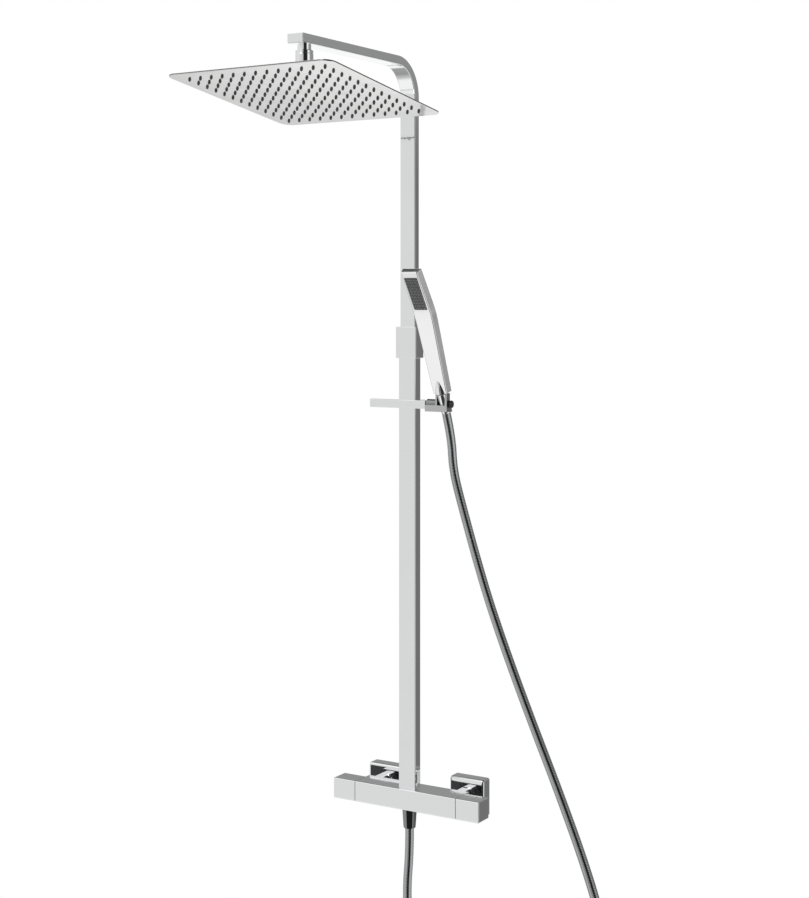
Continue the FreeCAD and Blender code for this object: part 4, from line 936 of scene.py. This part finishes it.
def finish(name, base, metallic, roughness, **fixed):
    """A Principled material with the values that are the same all over it on its own sockets."""
    material = bpy.data.materials.new(name)
    material.use_nodes = True
    tree = material.node_tree
    shader = tree.nodes["Principled BSDF"]
    shader.inputs["Base Color"].default_value = (*base, 1)
    shader.inputs["Metallic"].default_value = metallic
    shader.inputs["Roughness"].default_value = roughness
    for key, value in fixed.items():
        shader.inputs[key.replace("_", " ")].default_value = value
    return material, tree, shader


# Brightness round the horizon, by share of a turn: -X is 0, -Y 0.25, +X 0.5 and +Y, the wall, 0.75.
ROUND_HORIZON = [(0.00, 0.80), (0.10, 0.80), (0.19, 0.74), (0.29, 0.62), (0.315, 0.02), (0.44, 0.02),
                 (0.47, 0.95), (0.568, 0.95), (0.612, 0.17), (0.72, 0.17), (0.76, 0.62), (0.93, 0.58),
                 (1.00, 0.76)]
# The same turn high up: bright on the left, dark from the front to the right, and grey behind.
ROUND_CEILING = [(0, 1.0), (0.20, 1.0), (0.25, 0.03), (0.47, 0.03), (0.58, 0.30), (0.90, 0.30), (0.97, 1.0)]
SOFT_BOX = 1.05  # the ceiling's front half is brighter by this factor
# And low down: a bright sweep front left, dark front right, bright behind and grey on the left.
ROUND_GROUND = [(0, 0.36), (0.06, 0.55), (0.115, 0.98), (0.19, 0.98), (0.225, 0.04), (0.43, 0.04),
                (0.47, 0.88), (0.76, 0.9), (0.80, 1.0), (0.862, 1.0), (0.885, 0.38), (1, 0.34)]
BY_HEIGHT_UP = [(0.0, 0.0), (0.24, 0.0), (0.34, 1.0), (1.0, 1.0)]
BY_HEIGHT_DOWN = [(0.0, 0.0), (0.34, 0.0), (0.40, 1.0), (1.0, 1.0)]
REAR_LIFT = 0.18  # the ceiling comes lower behind, by this much
ZENITH_DARK = [(0.0, 0.0), (0.45, 0.0), (0.65, 1.0), (1.0, 1.0)]
ZENITH_GREY, WHITE = (0.05, 0.05, 0.05, 1), (1, 1, 1, 1)
# A white strip just under the horizon, behind the column only.
REAR_STRIP = [(0.0, 0.0), (0.04, 0.0), (0.08, 1.0), (0.21, 1.0), (0.26, 0.0), (1.0, 0.0)]
REAR_SIDE = [(0.0, 0.0), (0.72, 0.0), (0.76, 1.0), (1.0, 1.0)]


def make_world():
    world = bpy.data.worlds.new("studio")
    world.use_nodes = True
    tree = world.node_tree
    tree.nodes.clear()
    way = node(tree, "ShaderNodeTexCoord").outputs["Generated"]
    x, y, height = node(tree, "ShaderNodeSeparateXYZ", {0: way}).outputs
    share = maths(tree, "MULTIPLY_ADD", maths(tree, "ARCTAN2", y, x), 1 / (2 * math.pi), 0.5)
    behind = node(tree, "ShaderNodeMapRange", {0: y, 1: 0.0, 2: 0.3, 3: 0.0, 4: 1.0}).outputs[0]
    boxed = node(tree, "ShaderNodeMix", {0: behind, 2: SOFT_BOX, 3: 1.0}).outputs[0]
    ceiling = mixed(tree, 1.0, ramp(tree, share, ROUND_CEILING), boxed, blend_type="MULTIPLY")
    zenith = maths(tree, "MULTIPLY", ramp(tree, height, ZENITH_DARK), behind)
    ceiling = mixed(tree, zenith, ceiling, ZENITH_GREY)
    fall = maths(tree, "MULTIPLY", height, -1.0)
    strip = maths(tree, "MULTIPLY", ramp(tree, fall, REAR_STRIP), ramp(tree, share, REAR_SIDE))
    horizon = mixed(tree, strip, ramp(tree, share, ROUND_HORIZON), WHITE)
    lifted = maths(tree, "MULTIPLY_ADD", behind, REAR_LIFT, height)
    high = mixed(tree, ramp(tree, lifted, BY_HEIGHT_UP), horizon, ceiling)
    low = mixed(tree, ramp(tree, fall, BY_HEIGHT_DOWN), high, ramp(tree, share, ROUND_GROUND))
    seen = node(tree, "ShaderNodeLightPath").outputs["Is Camera Ray"]
    plain = mixed(tree, seen, low, WHITE)
    back = node(tree, "ShaderNodeBackground", {"Color": plain, "Strength": 1.0})
    node(tree, "ShaderNodeOutputWorld", {"Surface": back.outputs[0]})
    bpy.context.scene.world = world
    bpy.context.scene.view_settings.view_transform = "Standard"


make_world()

# %% [markdown]
# A soft lamp above the front adds shape to the few parts that aren't mirrors, and a pale round
# floor lies well below the column, as it would in a shower.

# %% Lamp and floor
FLOOR_Z = -1.05
FLOOR_RADIUS = 1.4


def make_lamp():
    lamp = bpy.data.lights.new("soft_lamp", "AREA")
    lamp.energy, lamp.size = 18.0, 1.2
    holder = bpy.data.objects.new("soft_lamp", lamp)
    holder.location = (-0.6, -2.2, 2.6)
    holder.rotation_euler = (Vector((0, -0.1, 0.6)) - holder.location).to_track_quat("-Z", "Y").to_euler()
    bpy.context.scene.collection.objects.link(holder)


def make_floor():
    turn = np.linspace(0, 2 * math.pi, 96, endpoint=False)
    ring = np.stack([np.cos(turn), np.sin(turn), 0 * turn], -1) * FLOOR_RADIUS
    points = ring + (0, -0.2, FLOOR_Z)
    floor = add_piece("floor", points, [list(range(96))], smooth=False)
    pale = finish("pale_floor", (0.9, 0.9, 0.9), 0.0, 0.7, Emission_Color=WHITE, Emission_Strength=0.25)
    floor.data.materials.append(pale[0])
    floor.visible_glossy = False  # the chrome mirrors the studio cards, not this disc


make_lamp()
make_floor()

# %% [markdown]
# ## Finishes
#
# Each finish starts from the Principled shader. Chrome is a metal with a low roughness. What
# makes it look real is what is not perfect: the polish leaves faint waves, wiping leaves patches
# that are a little duller, and the plating is a touch uneven. All of it is noise on Object
# coordinates, so it stays on the piece.

# %% Finish helpers


def noise(tree, scale, detail=3.0, stretch=(1, 1, 1)):
    """Noise on Object coordinates; stretch squeezes it along an axis to draw streaks."""
    place = node(tree, "ShaderNodeTexCoord").outputs["Object"]
    mapped = node(tree, "ShaderNodeMapping", {"Vector": place, "Scale": stretch}).outputs[0]
    inputs = {"Vector": mapped, "Scale": scale, "Detail": detail}
    return node(tree, "ShaderNodeTexNoise", inputs).outputs["Fac"]


def spread(tree, factor, low, high):
    """Maps a noise's middle stretch, 0.3 to 0.7, to a range."""
    return node(tree, "ShaderNodeMapRange", {0: factor, 1: 0.3, 2: 0.7, 3: low, 4: high}).outputs[0]


def bump(tree, shader, height, distance, strength):
    made = node(tree, "ShaderNodeBump", {"Height": height, "Distance": distance, "Strength": strength})
    tree.links.new(made.outputs[0], shader.inputs["Normal"])


def tinted(tree, shader, factor, dark, light):
    """Base colour that drifts between two close tones."""
    tree.links.new(mixed(tree, factor, (*dark, 1), (*light, 1)), shader.inputs["Base Color"])


def mirror_metal(name, tone, rough, wave, streak=(1, 1, 1)):
    """Polished metal: faint waves in the polish, duller wiped patches, fine streaks one way."""
    material, tree, shader = finish(name, tone, 1.0, rough[0])
    patches = noise(tree, 14, 4)
    worn = maths(tree, "MULTIPLY", patches, noise(tree, 260, 2, streak))
    tree.links.new(spread(tree, worn, *rough), shader.inputs["Roughness"])
    tinted(tree, shader, spread(tree, patches, 0, 1), [c * 0.97 for c in tone], tone)
    bump(tree, shader, noise(tree, 22, 1), wave, 0.25)
    return material


# %% [markdown]
# The riser, the bar and the fittings share one chrome. The rain head is thin polished stainless
# sheet, a little warmer and softer. The hand shower and its holder are plated plastic, whose
# reflections are never as crisp as on brass.

# %% Metals
CHROME_TONE = (0.90, 0.905, 0.91)
CHROME = mirror_metal("polished_chrome", CHROME_TONE, (0.05, 0.16), 0.0004, (6, 6, 0.25))
SHEET_STEEL = mirror_metal("polished_sheet", (0.86, 0.86, 0.855), (0.10, 0.22), 0.0006, (1, 8, 1))
PLATED = mirror_metal("plated_plastic", (0.90, 0.90, 0.90), (0.16, 0.30), 0.0005)
HOSE_STEEL = mirror_metal("wound_steel", (0.44, 0.45, 0.455), (0.16, 0.30), 0.0002)
BRASS = mirror_metal("turned_brass", (0.74, 0.56, 0.27), (0.22, 0.38), 0.0002)
PLAIN_STEEL = mirror_metal("plain_steel", (0.62, 0.62, 0.62), (0.28, 0.42), 0.0002)
HOLDER_PLATE = mirror_metal("holder_plating", (0.56, 0.56, 0.565), (0.20, 0.38), 0.0004)

# %% [markdown]
# Plastics and rubber scatter light instead. Each gets a fine grain in its bump and a slight drift
# in its colour and roughness.

# %% Plastics and rubber


def moulded(name, dark, light, rough, grain, coat=0.0):
    material, tree, shader = finish(name, light, 0.0, rough[0], Coat_Weight=coat)
    broad = noise(tree, 35, 3)
    tinted(tree, shader, spread(tree, broad, 0, 1), dark, light)
    tree.links.new(spread(tree, broad, *rough), shader.inputs["Roughness"])
    bump(tree, shader, noise(tree, grain, 2), 0.0001, 0.35)
    return material


DARK_PLASTIC = moulded("dark_moulding", (0.035, 0.036, 0.038), (0.055, 0.056, 0.06), (0.35, 0.5), 1500, 0.1)
WHITE_PLASTIC = moulded("inner_moulding", (0.70, 0.69, 0.66), (0.78, 0.77, 0.74), (0.4, 0.55), 900)
RUBBER = moulded("seal_rubber", (0.02, 0.02, 0.021), (0.035, 0.035, 0.036), (0.6, 0.75), 700)
SILICONE = moulded("nozzle_silicone", (0.08, 0.082, 0.086), (0.12, 0.122, 0.126), (0.5, 0.65), 900)
SPRAY_PLASTIC = moulded("spray_plastic", (0.030, 0.031, 0.033), (0.044, 0.045, 0.048), (0.35, 0.5),
                        1500, 0.1)
PALE_SILICONE = moulded("pale_silicone", (0.44, 0.442, 0.446), (0.52, 0.522, 0.526), (0.5, 0.65), 900)

# %% Special metals
REAR_PAINTED_SHADE = (0.09, 0.096, 0.096)


def chrome_with_painted_rear_shade(name):
    """Chrome whose rear face, the one towards the wall, is painted dark as painted shade, and is rougher.
    """
    material, tree, shader = finish(name, CHROME_TONE, 1.0, 0.08)
    normal = node(tree, "ShaderNodeNewGeometry").outputs["Normal"]
    facing = node(tree, "ShaderNodeSeparateXYZ", {0: normal}).outputs["Y"]
    rear = node(tree, "ShaderNodeMapRange", {0: facing, 1: 0.6, 2: 0.8, 3: 0.0, 4: 1.0}).outputs[0]
    # The rear face's dark base colour is painted shade.
    tinted(tree, shader, rear, CHROME_TONE, REAR_PAINTED_SHADE)
    patches = spread(tree, noise(tree, 14, 4), 0.05, 0.14)
    rough = node(tree, "ShaderNodeMix", {0: rear, 2: patches, 3: 0.55})
    tree.links.new(rough.outputs[0], shader.inputs["Roughness"])
    bump(tree, shader, noise(tree, 22, 1), 0.0004, 0.25)
    return material


BODY_CHROME_REAR_SHADE = chrome_with_painted_rear_shade("body_chrome")
# The head's rim band: a little rougher, and its dark tone is a painted dark reflection.
RIM_PAINTED_REFLECTION = mirror_metal("rim_painted_reflection", (0.16, 0.16, 0.165), (0.3, 0.45), 0.0002)
# Chrome with its base colour painted dark: a painted dark reflection.
CHROME_PAINTED_DARK = mirror_metal("chrome_painted_dark_reflection", (0.28, 0.285, 0.29), (0.10, 0.2), 0.0003)

# %% Which finish each slot takes
SLOT_FINISH = {
    "polished_chrome": CHROME,
    "head_steel": SHEET_STEEL,
    "plated_plastic": PLATED,
    "dark_plastic": DARK_PLASTIC,
    "inner_plastic": WHITE_PLASTIC,
    "seal_rubber": RUBBER,
    "nozzle_silicone": SILICONE,
    "plain_brass": BRASS,
    "screw_steel": PLAIN_STEEL,
    "hose_jacket": HOSE_STEEL,
}
NODE_SLOT = {part["node"]: part["material_slot"] for part in frame["record"]["subparts"]}


def dress(piece, material):
    piece.data.materials.clear()
    piece.data.materials.append(material)


BOSS_WIDE, BAND_HIGH = 0.0145, 0.0100


def dress_boss(piece, material):
    """The holder's round boss, left of its cup and above its band, takes the painted dark reflection."""
    low, _ = box("handset_holder")
    mesh = piece.data
    centres = np.empty(len(mesh.polygons) * 3)
    mesh.polygons.foreach_get("center", centres)
    x, _, z = centres.reshape(-1, 3).T
    mesh.materials.append(material)
    boss = (x < low[0] + BOSS_WIDE) & (z > low[2] + BAND_HIGH)
    mesh.polygons.foreach_set("material_index", boss.astype(np.int32))


for name, part in frame["nodes"].items():
    dress(part, SLOT_FINISH[NODE_SLOT[name]])
for piece, slot in NEW_PIECES:
    dress(piece, SLOT_FINISH[slot])
for piece in (hose_upper, hose_lower, hose_pull):
    dress(piece, HOSE_STEEL)
# The rim band takes the painted dark reflection.
dress(head_band, RIM_PAINTED_REFLECTION)
# The outlet nut and the holder's boss take the painted dark reflection.
dress(outlet_nut, CHROME_PAINTED_DARK)
# The valve bar and knobs get painted shade on their rear faces.
for name in ("valve_bar", "flow_knob_block", "temperature_knob_block"):
    dress(bpy.data.objects[name], BODY_CHROME_REAR_SHADE)
dress(bpy.data.objects["holder_cup"], HOLDER_PLATE)
dress_boss(bpy.data.objects["holder_cup"], CHROME_PAINTED_DARK)
dress(bpy.data.objects["spray_plate"], SPRAY_PLASTIC)
dress(bpy.data.objects["spray_dots"], PALE_SILICONE)
print("dressed", len(frame["nodes"]), "nodes and", len(NEW_PIECES) + 3, "new pieces")
